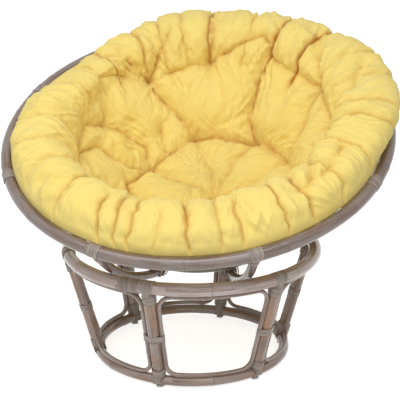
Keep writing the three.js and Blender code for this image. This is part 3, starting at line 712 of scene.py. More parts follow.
# turns round the top ring beside the first post, over the ring's own lap joint: a helix on the ring
def spliceWrap():
    turns = round((base["spliceTo"] - base["spliceFrom"]) / strandPitch)
    t = np.arange(turns * base["wrapSteps"] + 1) / base["wrapSteps"]
    s = base["spliceFrom"] + strand["width"] / 2 + strandPitch * t + postAngle(0) * chair["topRing"]
    centre, out, side = ringLine(chair["topRing"], chair["topHeight"])(s)
    a = 2 * math.pi * t
    normals = np.cos(a)[:, None] * out + np.sin(a)[:, None] * side
    points = centre + normals * (chair["topPole"] / 2 + tuckedLift(t, turns))[:, None]
    return ribbon(offSphere(points, strand["thick"] / 2), normals)


glide = {
    "height": 0.005, "radius": 0.01, "edge": 0.0015, "edgeSteps": 6, "sides": 28,
    "flatShares": (0.35, 0.7), "bellyShare": 0.75, "topShare": 0.94,
    "patternAlong": 0.02, "patternRound": 0.06,
}


# a shallow moulded cap: half profile from the floor up, flat, round edge and side, turned round
def makeGlide(index):
    radius, height, edge = glide["radius"], glide["height"], glide["edge"]
    bend = np.linspace(0, math.pi / 2, glide["edgeSteps"])
    flat = [radius * share for share in glide["flatShares"]]
    r = np.concatenate([flat, radius - edge + edge * np.sin(bend), [radius, radius * glide["topShare"]]])
    z = np.concatenate([[0, 0], edge - edge * np.cos(bend), [height * glide["bellyShare"], height]])
    _, ring = circleOutline(radius, glide["sides"])
    tall = np.broadcast_to(z[:, None, None], (len(z), glide["sides"], 1))
    points = np.concatenate([r[:, None, None] * ring[None], tall], -1)
    points = points + spoke(postAngle(index)) * chair["bottomRing"]
    part = gridPart(points, np.linspace(0, glide["patternAlong"], len(r) + 1),
                    np.linspace(0, glide["patternRound"], glide["sides"] + 1), False)
    name = f"foot_glide_{index + 1}"
    finishPiece(buildMesh(f"{name}_cap", [part], onBase, glideMaterial), "base", "glide", name)


makeRings()
for index in range(chair["posts"]):
    makePost(index)
    makeCane(index)
    makeWraps(index)
    makeGlide(index)
print("base made")


# Bowl

bowl = {
    "rimSides": 30, "ribSides": 20, "rimWarmth": 0.3, "lowWarmth": 0.5, "ribWarmth": 0.6, "meetReach": 0.09,
    "rimWrapWidth": 0.038, "rimWrapReach": 0.012, "ribWrapReach": 0.022, "ribWrapStart": 0.002,
    "wrapSteps": 26, "wrapLift": 0.9,
    "crossTurns": 3, "crossSteps": 44, "crossRoom": 0.004, "crossShare": 0.92, "crossApart": 0.7,
    "crossSquare": 0.8, "crossClear": 0.0004,
}
rimAngle = math.asin(chair["rim"] / chair["ribCurve"])
rimDrop = chair["ribCurve"] * math.cos(rimAngle)
ringDepth = chair["ribCurve"] - chair["ribPole"] / 2 - chair["caneGap"] - chair["lowerPole"] / 2
ringAngle = math.asin(chair["lowerRing"] / ringDepth)
ringDrop = ringDepth * math.cos(ringAngle)


# the rim and the lower ring inside the ribs
def makeBowlRings():
    rim = (chair["rim"], rimDrop, chair["rimPole"], bowl["rimSides"], bowl["rimWarmth"])
    low = (chair["lowerRing"], ringDrop, chair["lowerPole"], bowl["ribSides"], bowl["lowWarmth"])
    for node, name, (radius, drop, size, sides, warmth) in (("bowl_rim", "bowl_rim_pole", rim),
                                                            ("bowl_lower_ring", "lower_ring_pole", low)):
        part = pole(ringLine(radius, -drop), 2 * math.pi * radius, size / 2, sides, warmth, True)
        # both take the bowl's darker copy of the rattan, partly painted shade
        finishPiece(buildMesh(name, [part], onBowl, shadedBowlMaterial), "bowl", "rattan", node)


# a rib from past the lower ring to where its sides meet the rim, with its peel
def makeRib(index):
    angle = ribAngle(index)
    line = ribLine(angle)
    start = ringAngle * chair["ribCurve"] - chair["ribPastRing"]
    end = rimAngle * chair["ribCurve"]
    radius, sides = chair["ribPole"] / 2, bowl["ribSides"]
    hi = meetRing(line, radius, sides, end - bowl["meetReach"], end, chair["rim"], -rimDrop,
                  chair["rimPole"] / 2) - start
    shifted = lambda s: line(np.asarray(s) + start)
    part = pole(shifted, end - start, radius, sides, bowl["ribWarmth"], lo=np.zeros(sides), hi=hi,
                fadeEnds=True, slides=True)
    name = f"bowl_rib_{index + 1}"
    # the rib takes the bowl's darker copy of the rattan, painted shade
    finishPiece(buildMesh(f"{name}_pole", [part], onBowl, shadedBowlMaterial), "bowl", "rattan", name)
    rimWraps(index, angle, line, end)
    ringWraps(index, line)


# strands over the rim and down the rib, and turns round the rib that hold them
def rimWraps(index, angle, line, end):
    centre, out, side = line(end)
    rimRoom, ribRadius = chair["rimPole"] / 2, chair["ribPole"] / 2
    parts = fan(rimRoom, ribRadius, rimRoom + bowl["rimWrapReach"], round(bowl["rimWrapWidth"] / strandPitch),
                bowl["rimWrapWidth"], (centre, np.cross(zAxis, spoke(angle)), out, np.cross(out, side)))
    outline, normals = circleOutline(ribRadius + strand["thick"] * bowl["wrapLift"], bowl["wrapSteps"])
    foot, footOut, footSide = line(end - rimRoom - bowl["ribWrapReach"])
    parts.append(wound(outline, normals, (foot, -footSide, footOut, np.cross(footOut, footSide)), 0.0,
                       bowl["ribWrapReach"] - bowl["ribWrapStart"]))
    name = f"rim_binding_{index + 1}"
    finishPiece(buildMesh(f"{name}_strands", parts, onBowl, peelMaterial), "bowl", "peel", name)


# crossed turns that hold a rib on the lower ring: squared ovals that lean both ways, flush with the rib
def ringWraps(index, line):
    centre, out, side = line(ringAngle * chair["ribCurve"])
    ahead = np.cross(out, side)
    ribRadius = chair["ribPole"] / 2
    apart = ribRadius + chair["caneGap"] + chair["lowerPole"] / 2
    middle = centre - out * apart / 2
    a = circle(bowl["crossSteps"])
    tall = apart / 2 + ribRadius + strand["thick"] / 2
    wide = np.cos(a) * (ribRadius + bowl["crossRoom"]) * bowl["crossShare"]
    high = np.sign(np.sin(a)) * np.abs(np.sin(a)) ** bowl["crossSquare"] * tall
    limit = seatSphere - strand["thick"] / 2 - bowl["crossClear"]
    parts = []
    for lean in (-1, 1):
        for k in range(bowl["crossTurns"]):
            offset = (k - (bowl["crossTurns"] - 1) / 2) * strandPitch * bowl["crossApart"]
            flat = (wide + lean * offset)[:, None] * side + (lean * wide + offset)[:, None] * ahead
            points = middle + flat + high[:, None] * out
            size = np.linalg.norm(points, axis=-1, keepdims=True)
            points = points / size * np.minimum(size, limit)
            parts.append(ribbon(points, unit(points - middle), True))
    finishPiece(buildMesh(f"lower_ring_binding_{index + 1}", parts, onBowl, peelMaterial), "bowl", "peel")


makeBowlRings()
for index in range(chair["ribs"]):
    makeRib(index)
print("bowl made")


# Cushion

cushion = {
    "columns": 560, "clothColumns": 240, "underRows": 90,       # squares of the top, of its cloth, rows below
    "rollHeight": 0.1, "rollWidth": 0.096, "seat": 0.2151, "hollow": 0.3488, "thick": 0.097, "hang": 0.008,
    "sideSag": 0.008, "dent": 0.001, "ringMargin": 0.018, "rimRoom": 0.0202, "clearance": 0.0026,
    "tableSpread": 11, "samples": 1200, "seatSamples": 600, "seatEnd": 0.86, "seatReach": 0.5,
    # degrees from the front and how far the edge lies past the rim's middle
    "edge": [(0, -0.036), (30, -0.04), (60, -0.04), (75, -0.022), (88, -0.002), (97, 0.012), (105, 0.03),
             (112, 0.038), (120, 0.036), (127, 0.024), (136, 0.008), (148, 0.014), (156, -0.004),
             (170, 0.002), (180, 0), (-165, 0), (-155, -0.016), (-147, -0.038), (-140, -0.052),
             (-129, -0.052), (-117, -0.072), (-105, -0.07), (-94, -0.046), (-83, -0.032), (-73, -0.03),
             (-60, -0.042), (-30, -0.04)],
    # degrees from the front and the crest's height as a share of the roll's
    "crest": [(0, 0.8), (45, 0.86), (90, 0.96), (120, 0.98), (138, 0.9), (150, 1.1), (158, 0.84),
              (170, 0.88), (180, 0.84), (-165, 0.84), (-155, 0.78), (-147, 0.7), (-135, 0.66), (-117, 0.6),
              (-105, 0.66), (-94, 0.76), (-83, 0.85), (-70, 0.9), (-45, 0.86)],
    # degrees from the front and how far the crest lies inside the edge, as a share of the roll's width
    "lap": [(0, 0.78), (-50, 0.85), (50, 0.85), (-90, 1), (90, 1), (180, 1)],
    # the section, from the middle of the seat over the crest to the rim; fuller: more of it in front
    "seatShares": (0, 0.33, 0.66, 1), "riseShares": (0, 0, 0.04, 0.16, 0.5, 1),
    "rollShares": (0.72, 1, 0.98, 0.82, 0.5), "fullerShares": (0, 0, 0, 0.03, 0.06),
    "outerShare": 0.5, "sideShare": 0.14, "sideFullerShare": 0.04, "lipOutShare": 0.42, "lipUpShare": 0.18,
    "lipFullerShare": 0.08, "fullEdge": 0.012, "fullLip": 0.0065, "fullWithin": 0.02, "fullPast": 0.1,
    "fullBlend": 0.6,
}

# sewn tufts as (degrees from the front, metres from the middle)
tufts = [(45, 0.07), (-53, 0.2), (-3, 0.21), (52, 0.225), (107, 0.24), (146, 0.216), (-165, 0.197),
         (-110, 0.166), (-25, 0.35), (-54, 0.34), (-82, 0.325), (-110, 0.31), (-146, 0.331), (-176, 0.352),
         (156, 0.377), (123, 0.376), (99, 0.365), (83, 0.367), (76, 0.295), (60, 0.355), (34, 0.352),
         (5, 0.352)]

# creases of the seat and the back, each a depth and then places like the tufts'
creases = [
    (0.020, (-53, 0.2), (-78, 0.21), (-110, 0.166), (-135, 0.17), (-165, 0.197), (175, 0.2), (146, 0.216),
     (128, 0.225), (107, 0.24), (76, 0.295), (60, 0.355)),
    (0.018, (146, 0.216), (155, 0.26), (157, 0.34), (155, 0.41), (156, 0.455)),
    (0.017, (-146, 0.331), (-138, 0.374), (-131, 0.445)),
    (0.010, (-146, 0.331), (-132, 0.384)),
    (0.016, (-146, 0.331), (-156, 0.382), (-160, 0.43)),
    (0.015, (-146, 0.32), (-154, 0.266), (-165, 0.197)),
    (0.010, (-141, 0.242), (-135, 0.184)),
    (0.015, (-110, 0.31), (-116, 0.27), (-121, 0.217), (-110, 0.166)),
    (0.014, (-82, 0.325), (-93, 0.294), (-97, 0.215), (-110, 0.166)),
    (0.013, (-82, 0.325), (-98, 0.338), (-110, 0.31)),
    (0.012, (-110, 0.31), (-121, 0.363), (-131, 0.36), (-146, 0.331)),
    (0.014, (-82, 0.325), (-65, 0.302), (-64, 0.211), (-53, 0.2)),
    (0.013, (-176, 0.352), (-178, 0.403), (-177, 0.45)),
    (0.010, (-176, 0.352), (-166, 0.347), (-155, 0.34)),
    (0.015, (-176, 0.352), (177, 0.368), (170, 0.387), (161, 0.416), (157, 0.4)),
    (0.014, (156, 0.377), (140, 0.37), (123, 0.376)),
    (0.012, (123, 0.376), (131, 0.415), (141, 0.483)),
    (0.014, (123, 0.376), (110, 0.37), (99, 0.365), (83, 0.367)),
    (0.015, (123, 0.376), (114, 0.3), (107, 0.24)),
    (0.015, (83, 0.367), (78, 0.33), (76, 0.295)),
    (0.014, (76, 0.295), (60, 0.39), (51, 0.471), (46, 0.53)),
    (0.012, (83, 0.367), (72, 0.44), (56, 0.53)),
    (0.010, (99, 0.365), (108, 0.441), (117, 0.518)),
    (0.010, (45, 0.07), (100, 0.06), (140, 0.13), (146, 0.216)),
    (0.010, (45, 0.07), (0, 0.02), (-90, 0.07), (-110, 0.166)),
    (0.010, (45, 0.07), (-10, 0.12), (-53, 0.2)),
    (0.011, (45, 0.07), (52, 0.15), (52, 0.225)),
    (0.009, (45, 0.07), (88, 0.16), (107, 0.24)),
    (0.008, (45, 0.07), (160, 0.06), (-165, 0.197)),
    (0.014, (-53, 0.2), (-28, 0.195), (-3, 0.21), (25, 0.21), (52, 0.225)),
    (0.012, (52, 0.225), (58, 0.29), (60, 0.355)),
    (0.014, (-53, 0.2), (-54, 0.27), (-54, 0.34)),
    (0.012, (-3, 0.21), (2, 0.28), (5, 0.352)),
    (0.012, (-54, 0.34), (-40, 0.345), (-25, 0.35), (-10, 0.345), (5, 0.352), (20, 0.345), (34, 0.352),
     (60, 0.355)),
    (0.012, (-82, 0.325), (-68, 0.34), (-54, 0.34)),
]

# pleats that run over the roll: degrees at its inner start, degrees at the rim, share of full depth
pleats = [(-25, -20, 0.9), (-17, -14, 0.9), (-10, -10, 0.8), (0, -2, 0.3), (5, 8, 1), (16, 17, 0.6),
          (24, 23, 0.8), (35, 37, 0.9), (47, 46, 1), (60, 58, 0.7), (76, 72, 0.6), (86, 90, 0.8),
          (99, 96, 0.6), (111, 112, 0.3), (123, 124, 0.6), (138, 141, 1.3), (156, 155, 1.2),
          (167, 168, 0.4), (-176, -176, 1), (-166, -165, 0.4), (-156, -157, 0.6), (-146, -146, 0.7),
          (-131, -129, 0.9), (-121, -120, 0.4), (-108, -106, 0.3), (-82, -82, 0.3), (-66, -69, 0.35),
          (-52, -55, 0.3), (-40, -36, 0.6)]

padRest = ringDepth - chair["lowerPole"] / 2 - cushion["dent"]
restRadius, restHeight = padRest * math.sin(ringAngle), -padRest * math.cos(ringAngle)
seatHeight = restHeight - cushion["hang"] + cushion["thick"]
lipRoom = cushion["rimRoom"] * math.sqrt(0.5)
rimTopAt = (chair["rim"] - lipRoom, -rimDrop + lipRoom)


# a number for every angle: the mean of a table's entries, each weighted by a bell curve of its angle away
def aroundTable(a, table):
    places = np.radians([place for place, _ in table])
    values = np.array([value for _, value in table])
    apart = np.angle(np.exp(1j * (a[..., None] - places)))
    weight = np.exp(-(apart / math.radians(cushion["tableSpread"])) ** 2) + 1e-9
    return (weight * values).sum(-1) / weight.sum(-1)


lattice = rng.uniform(-1, 1, (64, 64, 64))


# smooth noise between -1 and 1: the lattice's random values, blended inside each cell
def noise(p):
    cell = np.floor(p).astype(int)
    f = p - cell
    f = f * f * (3 - 2 * f)
    total = 0.0
    for corner in range(8):
        offset = np.array([corner & 1, corner >> 1 & 1, corner >> 2 & 1])
        k = (cell + offset) % len(lattice)
        weight = np.prod(np.where(offset, f, 1 - f), -1)
        total = total + weight * lattice[k[..., 0], k[..., 1], k[..., 2]]
    return total


# a wavering in all three directions: three noises side by side
def wavering(p, rate, apart, start=0.0):
    return np.stack([noise(p * rate + k * apart + start) for k in range(3)], -1)


# values on a circle that is read out of a noise, so that they meet all the way round
def roundNoise(a, rate, third):
    return noise(np.stack([np.cos(a) * rate, np.sin(a) * rate, third], -1))


# a smooth curve through control points: u says which points, and how far from one to the next
def throughControls(radii, heights, u):
    count = len(radii)
    k = np.clip(np.floor(u).astype(int), 0, count - 2)
    f = u - k
    pick = lambda table, i: np.take_along_axis(table, np.clip(i, 0, count - 1)[None], 0)[0]
    out = []
    for table in (radii, heights):
        p0, p1, p2, p3 = (pick(table, k + i) for i in (-1, 0, 1, 2))
        out.append(0.5 * (2 * p1 + (p2 - p0) * f + (2 * p0 - 5 * p1 + 4 * p2 - p3) * f ** 2
                          + (3 * p1 - p0 - 3 * p2 + p3) * f ** 3))
    return out


# radii and heights from the middle of the seat up the wall, over the crest and down to the rim's inner side
def topControls(a):
    edge = chair["rim"] + aroundTable(a, cushion["edge"])
    high = cushion["rollHeight"] * aroundTable(a, cushion["crest"])
    width = cushion["rollWidth"] * aroundTable(a, cushion["lap"])
    seat, hollow = cushion["seat"], cushion["hollow"]
    crest, rise, same = edge - width, -rimDrop - seatHeight, np.ones(a.shape)
    # 1 in front, where the edge stays inside the rim
    full = np.clip((rimTopAt[0] - edge) / cushion["fullWithin"], 0, 1)
    full = full * np.clip((np.cos(a) + cushion["fullPast"]) / cushion["fullBlend"], 0, 1)
    out = cushion["lipOutShare"]
    radii = [seat * share * same for share in cushion["seatShares"]]
    radii += [(seat + hollow) / 2 * same, hollow * same, (hollow + crest) / 2, crest,
              edge - width * cushion["outerShare"],
              edge - width * (cushion["sideShare"] - cushion["sideFullerShare"] * full),
              edge + cushion["fullEdge"] * full,
              edge * out + rimTopAt[0] * (1 - out) + cushion["fullLip"] * full, rimTopAt[0] * same]
    heights = [(seatHeight + rise * share) * same for share in cushion["riseShares"]]
    heights += [-rimDrop + high * (share + fuller * full)
                for share, fuller in zip(cushion["rollShares"], cushion["fullerShares"])]
    low = cushion["lipUpShare"] + cushion["lipFullerShare"] * full
    heights += [(-rimDrop + high) * low + rimTopAt[1] * (1 - low), rimTopAt[1] * same]
    return np.stack(radii), np.stack(heights)


underneath = {
    "sideShares": (0.66, 0.33, 0), "flatShares": (1, 0.85, 0.45, 0),
    "spokes": range(12, 372, 40), "bend": 0.09, "bendRate": 10, "bendStart": 5,
    "ring": 0.4, "ringWaver": 0.03, "ringRate": 7, "middle": 0.25, "middleOff": 0.4,
    "creaseDepth": 0.012, "creaseWidth": 0.024, "creaseCore": 0.004,
    "gather": 0.009, "gatherRate": 17, "gatherOut": 9, "gatherFull": 0.5,
    "crumples": ((0.005, 12, 0), (0.003, 30, 3)), "sharp": 0.7,        # height, rate and start of each
    # the last two: the strength and width of the painted shade along the underside's creases
    "dent": 0.014, "dentWidth": 0.02, "fade": 0.08, "paintedShade": 0.5, "shadeWidth": 0.004,
}


# radii and heights from the rim's inner side in a shallow sag to the lower ring and across it
def underControls(a):
    same = np.ones(a.shape)
    flatEnd = ringAngle + (chair["lowerPole"] / 2 + cushion["ringMargin"]) / ringDepth
    ringEnd = np.array([padRest * math.sin(flatEnd), -padRest * math.cos(flatEnd)])
    rimSide = np.array([chair["rim"] - cushion["rimRoom"], -rimDrop])
    outward = unit(np.array([rimSide[1] - ringEnd[1], ringEnd[0] - rimSide[0]]))
    sag = lambda share: outward * cushion["sideSag"] * (1 - (1 - 2 * share) ** 2)
    points = [np.array(rimTopAt), rimSide]
    points += [ringEnd + (rimSide - ringEnd) * share + sag(share) for share in underneath["sideShares"]]
    points += [np.array([restRadius * share, restHeight - cushion["hang"] * (1 - share ** 2)])
               for share in underneath["flatShares"]]
    return np.stack([p[0] * same for p in points]), np.stack([p[1] * same for p in points])


# spaces rows evenly along the section in front: share of its length to place between its control points
def evenRows(controls, share):
    a = np.zeros(cushion["samples"])
    u = np.linspace(0, len(controls(a[:1])[0]) - 1, cushion["samples"])
    radii, heights = throughControls(*controls(a), u)
    at = np.concatenate([[0], np.cumsum(np.hypot(np.diff(radii), np.diff(heights)))])
    return np.interp(share * at[-1], at, u)


# a point of the turned section: radius outwards at the angle, and height
def sectionPoint(controls, a, share):
    radius, height = throughControls(*controls(a), evenRows(controls, share))
    return spoke(a) * radius[..., None] + zAxis * height[..., None]


# a square grid drawn out to a disc, so that it has no pole: share of the way out, and angle
def discGrid(count):
    line = np.linspace(-1, 1, count + 1)
    x, y = np.meshgrid(line, line, indexing="ij")
    out = np.maximum(np.abs(x), np.abs(y))
    wide = np.abs(x) > np.abs(y)
    safe = np.where(out == 0, 1, out)
    a = np.where(wide, math.pi / 4 * y / safe * np.sign(x), math.pi / 2 - math.pi / 4 * x / safe * np.sign(y))
    a = np.where(wide, a + np.where(x < 0, math.pi, 0), a + np.where(y < 0, math.pi, 0))
    return out, np.where(wide, np.arctan2(np.sin(a), np.cos(a)), a)


# the directions that stand on a grid: the cross product of its two slopes
def gridNormals(p):
    return unit(np.cross(np.gradient(p, axis=0), np.gradient(p, axis=1)) + 1e-12)


seams = {
    "wander": ((0.006, 17, 9.1), (0.0024, 60, 5.7)), "farOff": 9.0,    # size, rate and start of each wavering
    "grooveSoft": 0.55, "grooveBell": 1.4,
    # creaseFull and creaseFaint, and pleatEndFaint and pleatFaint below, make the painted crease shade
    # fainter for shallow creases and pleats
    "creaseWidth": 0.014, "creaseCore": 0.003, "creaseFull": 0.02, "creaseFaint": 0.006,
    "tuftDepth": 0.03, "tuftWidth": 0.019,
    "pleatDepth": 0.012, "pleatWidth": 0.006, "pleatCore": 0.0022, "pleatStart": 0.56, "pleatReach": 0.08,
    "frontStart": 0.2, "frontRise": 1.6, "frontStep": 0.3, "crook": 0.005, "crookRate": 46, "crookFrom": 4,
    "puff": 0.017, "puffWidth": 0.034, "pleatOff": 0.026, "pleatEndOff": 0.05, "pleatEndFaint": 0.03,
    "pleatFaint": 0.008,
}


# the points of the plain seat at places given as degrees and radius: the nearest of many shares of its line
def onSeat(places):
    a = np.radians([place[0] for place in places])
    count = cushion["seatSamples"]
    share = np.linspace(0, cushion["seatEnd"], count)
    rows = np.tile(evenRows(topControls, share), len(a))
    radii, _ = throughControls(*topControls(np.repeat(a, count)), rows)
    at = []
    for row, place in zip(radii.reshape(len(a), count), places):
        inner = row[:int(np.argmax(row > cushion["seatReach"])) or count]
        at.append(share[np.argmin(np.abs(inner - place[1]))])
    return sectionPoint(topControls, a, np.array(at))


# how far each point is from the nearest part of a line of places
def fromLine(p, line):
    nearest = np.full(p.shape[:-1], seams["farOff"])
    for start, end in zip(line[:-1], line[1:]):
        way = end - start
        share = np.clip(((p - start) @ way) / (way @ way), 0, 1)
        nearest = np.minimum(nearest, np.linalg.norm(p - start - share[..., None] * way, axis=-1))
    return nearest


# a groove: a soft valley with a sharp core, as a share of its depth
def groove(away, width, core):
    soft = seams["grooveSoft"]
    return soft * np.exp(-(away / width) ** seams["grooveBell"]) + (1 - soft) * np.exp(-away / core)


# creases and tufts: how deep each point lies, how far from the nearest one, and the same for the painted
# crease shade
def creased(warp):
    depth = np.zeros(warp.shape[:-1])
    nearest = line = np.full(warp.shape[:-1], seams["farOff"])
    for strength, *places in creases:
        away = fromLine(warp, onSeat(places))
        depth = np.maximum(depth, strength * groove(away, seams["creaseWidth"], seams["creaseCore"]))
        nearest = np.minimum(nearest, away)
        # the distance that sets the painted crease shade, larger for a shallower crease
        line = np.minimum(line, away + seams["creaseFaint"] * (1 - strength / seams["creaseFull"]))
    away = np.stack([np.linalg.norm(warp - place, axis=-1) for place in onSeat(tufts)]).min(0)
    pits = seams["tuftDepth"] * np.exp(-away / seams["tuftWidth"])
    return depth, pits, np.minimum(nearest, away), np.minimum(line, away)


# what the sewing does to the plain seat: how far each point puffs up and sinks, and how near it is to a seam
# pleats run from the brink of the hollow to the rim, and in front they start later and not all alike
def sewing(p, share):
    warp = p + sum(size * wavering(p, rate, apart) for size, rate, apart in seams["wander"])
    depth, pits, nearest, line = creased(warp)
    warpAngle = np.arctan2(warp[..., 0], -warp[..., 1])
    radius = np.hypot(p[..., 0], p[..., 1])
    along = np.clip((share - seams["pleatStart"]) / (1 - seams["pleatStart"]), 0, 1)
    crooked = seams["crook"] * noise(p * seams["crookRate"] + seams["crookFrom"])
    for k, (inner, outer, strength) in enumerate(pleats):
        inFront = max(0, math.cos(math.radians(outer)) * seams["frontRise"] - (seams["frontRise"] - 1))
        later = seams["frontStart"] * inFront * (1 - seams["frontStep"] * (k % 3))
        reach = np.clip((share - seams["pleatStart"] - later) / seams["pleatReach"], 0, 1)
        middle = np.radians(inner + (outer - inner) * along)
        away = np.abs(radius * np.angle(np.exp(1j * (warpAngle - middle))) + crooked)
        fold = groove(away, seams["pleatWidth"], seams["pleatCore"])
        depth = np.maximum(depth, seams["pleatDepth"] * strength * reach * fold)
        nearest = np.minimum(nearest, away + seams["pleatOff"] + seams["pleatEndOff"] * (1 - reach))
        # the painted shade of a pleat is fainter towards its end and for a shallow pleat
        faint = seams["pleatEndFaint"] * (1 - reach) + seams["pleatFaint"] * (1 - strength)
        line = np.minimum(line, away + faint)
    puff = seams["puff"] * (1 - np.exp(-nearest / seams["puffWidth"]))
    return puff, depth + pits, line


wrinkle = {
    "foldDeep": 2.6, "foldSharp": 0.75,
    "fold": 0.0046, "foldSpokes": ((2.4, 0.7), (5.2, 0.5)), "foldApart": 3.3, "foldRate": 5,
    "foldFrom": 0.012, "foldReach": 0.075,
    "gather": 0.0012, "gathers": ((16, 0.8), (34, 1.0), (70, 0.5)), "gatherRate": 3.0,
    "drift": 0.12, "driftRate": 5, "driftStart": 2, "gatherLeast": 0.6, "gatherMore": 0.8, "gatherPatch": 6,
    "edgeFrom": 0.5, "edgeBlend": 0.2,
    # crumples as (size, share of height, start in the noise, lean)
    "crumples": ((0.05, 1.0, 0.0, 0.0), (0.03, 0.6, 5.0, 0.9), (0.026, 0.6, 8.0, -0.9),
                 (0.015, 0.32, 11.0, 0.4)),
    "crumple": 0.0042, "crumpleMean": 0.2, "bend": 0.022, "bendRate": 14, "bendApart": 7.7, "bendStart": 1,
    "narrow": 0.42, "long": 3.2, "patchRate": 9, "patchStart": 3, "patchMean": 0.5, "patchMore": 1.4,
    "patchLeast": 0.1, "patchMost": 1.3, "edgeMore": 0.4,
    "swell": 0.0056, "swells": ((7, 1.0), (15, 0.5), (38, 0.12)), "swellTurn": (0.8, 0.6),
}


# a fold-like wave from a noise: sharp valleys between round crests
def folds(values):
    return 1 - wrinkle["foldDeep"] * np.abs(values) ** wrinkle["foldSharp"]


# folds that run away from each tuft: waves round it that die out with the distance
def tuftFolds(p):
    total = np.zeros(p.shape[:-1])
    for k, place in enumerate(onSeat(tufts)):
        d = p - place
        away = np.linalg.norm(d, axis=-1) + 1e-6
        turn = np.arctan2(d[..., 0], d[..., 1])
        fade = np.clip(away / wrinkle["foldFrom"], 0, 1) * np.exp(-away / wrinkle["foldReach"])
        for spokes, height in wrinkle["foldSpokes"]:
            across = np.cos(turn) * spokes + k * wrinkle["foldApart"]
            local = np.stack([across, np.sin(turn) * spokes, away * wrinkle["foldRate"]], -1)
            total += wrinkle["fold"] * height * folds(noise(local)) * fade
    return total


# fine gathers across the roll: waves round the cushion, weaker in some places
def gathers(p, a, share, edge):
    drift = a + wrinkle["drift"] * noise(p * wrinkle["driftRate"] + wrinkle["driftStart"])
    total = np.zeros(a.shape)
    for count, height in wrinkle["gathers"]:
        patchy = np.abs(noise(p * wrinkle["gatherPatch"] + count))
        patchy = wrinkle["gatherLeast"] + wrinkle["gatherMore"] * patchy
        wave = folds(roundNoise(drift, count, share * wrinkle["gatherRate"] + count))
        total += wrinkle["gather"] * height * wave * edge * patchy
    return total


# crumples: crooked creases that run more or less outwards, in some places strong and in others faint
def crumples(p, share, edge):
    bent = p + wrinkle["bend"] * wavering(p, wrinkle["bendRate"], wrinkle["bendApart"], wrinkle["bendStart"])
    out = np.hypot(bent[..., 0], bent[..., 1])
    way = np.arctan2(bent[..., 0], -bent[..., 1])
    total = np.zeros(share.shape)
    for size, height, start, lean in wrinkle["crumples"]:
        local = out / (size * wrinkle["long"]) + start
        wave = folds(roundNoise(way + lean * share, wrinkle["narrow"] / size, local))
        patchy = noise(p * wrinkle["patchRate"] + start + wrinkle["patchStart"])
        patchy = wrinkle["patchMean"] + wrinkle["patchMore"] * patchy
        patchy = np.clip(patchy, wrinkle["patchLeast"], wrinkle["patchMost"])
        stronger = 1 + wrinkle["edgeMore"] * edge
        total += wrinkle["crumple"] * height * patchy * stronger * (wave - wrinkle["crumpleMean"])
    return total


# a broad unevenness: noises of three sizes, turned so that they don't lie along the cushion
def swells(p):
    c, s = wrinkle["swellTurn"]
    turned = np.stack([p[..., 0] * c + p[..., 1] * s, p[..., 1] * c - p[..., 0] * s, p[..., 2]], -1)
    return sum(wrinkle["swell"] * height * noise(turned * rate + rate) for rate, height in wrinkle["swells"])


# all of these together; edge is 1 on the roll, where gathers show and crumples are stronger
def wrinkles(p, a, share):
    edge = np.clip((share - wrinkle["edgeFrom"]) / wrinkle["edgeBlend"], 0, 1)
    return tuftFolds(p) + gathers(p, a, share, edge) + crumples(p, share, edge) + swells(p)


# keeps the cloth off the rim: no point nearer to the rim's middle line than its pole and a little room
def offRim(p):
    outward = np.stack([p[..., 0], p[..., 1], np.zeros(p.shape[:-1])], -1)
    outward = outward / (np.linalg.norm(outward, axis=-1, keepdims=True) + 1e-9)
    nearest = outward * chair["rim"] - zAxis * rimDrop
    away = p - nearest
    size = np.linalg.norm(away, axis=-1, keepdims=True)
    return nearest + away / (size + 1e-9) * np.maximum(size, chair["rimPole"] / 2 + cushion["clearance"])


sheetCloth = {
    "quality": 5, "mass": 0.15, "tension_stiffness": 12, "compression_stiffness": 12, "shear_stiffness": 12,
    "bending_stiffness": 0.15, "use_pressure": True, "uniform_pressure_force": 4.0, "shrink_min": -0.04,
}
sheetRun = {"frames": 20, "cap": 0.022, "levels": 10, "blend": 0.25}  # cap: the furthest a point may move


# lets the sewn sheet swell and crumple as cloth while its tufts, creases and edge are held
def inflate(p, hold):
    count = p.shape[0]
    mesh = bpy.data.meshes.new("pad sheet")
    mesh.from_pydata(p.reshape(-1, 3).tolist(), [], sheetFaces(count - 1).tolist())
    mesh.update()
    sheet = bpy.data.objects.new("pad sheet", mesh)
    bpy.context.scene.collection.objects.link(sheet)
    group = sheet.vertex_groups.new(name="held")
    steps = np.round(hold.ravel() * sheetRun["levels"]).astype(int)
    for level in range(1, sheetRun["levels"] + 1):
        group.add(np.nonzero(steps == level)[0].tolist(), level / sheetRun["levels"], "REPLACE")
    cloth = sheet.modifiers.new("cloth", "CLOTH")
    for key, value in sheetCloth.items():
        setattr(cloth.settings, key, value)
    cloth.settings.vertex_group_mass = "held"
    cloth.settings.effector_weights.gravity = 0
    cloth.collision_settings.use_collision = False
    cloth.point_cache.frame_start, cloth.point_cache.frame_end = 1, sheetRun["frames"]
    scene = bpy.context.scene
    for number in range(1, sheetRun["frames"] + 1):
        scene.frame_set(number)
    shaped = sheet.evaluated_get(bpy.context.evaluated_depsgraph_get()).to_mesh()
    after = np.empty(len(shaped.vertices) * 3, np.float32)
    shaped.vertices.foreach_get("co", after)
    scene.frame_set(1)
    bpy.data.objects.remove(sheet)
    move = after.reshape(p.shape).astype(float) - p
    size = np.linalg.norm(move, axis=-1, keepdims=True)
    print("cloth moved", round(float(size.max()), 4), "mean", round(float(size.mean()), 4))
    move = move * np.minimum(1, sheetRun["cap"] / np.maximum(size, 1e-9))
    # each point's move takes a share of its two neighbours' moves, one way and then the other
    blend = sheetRun["blend"]
    for axis in (0, 1):
        move = blend * np.roll(move, 1, axis) + (1 - 2 * blend) * move + blend * np.roll(move, -1, axis)
    return move


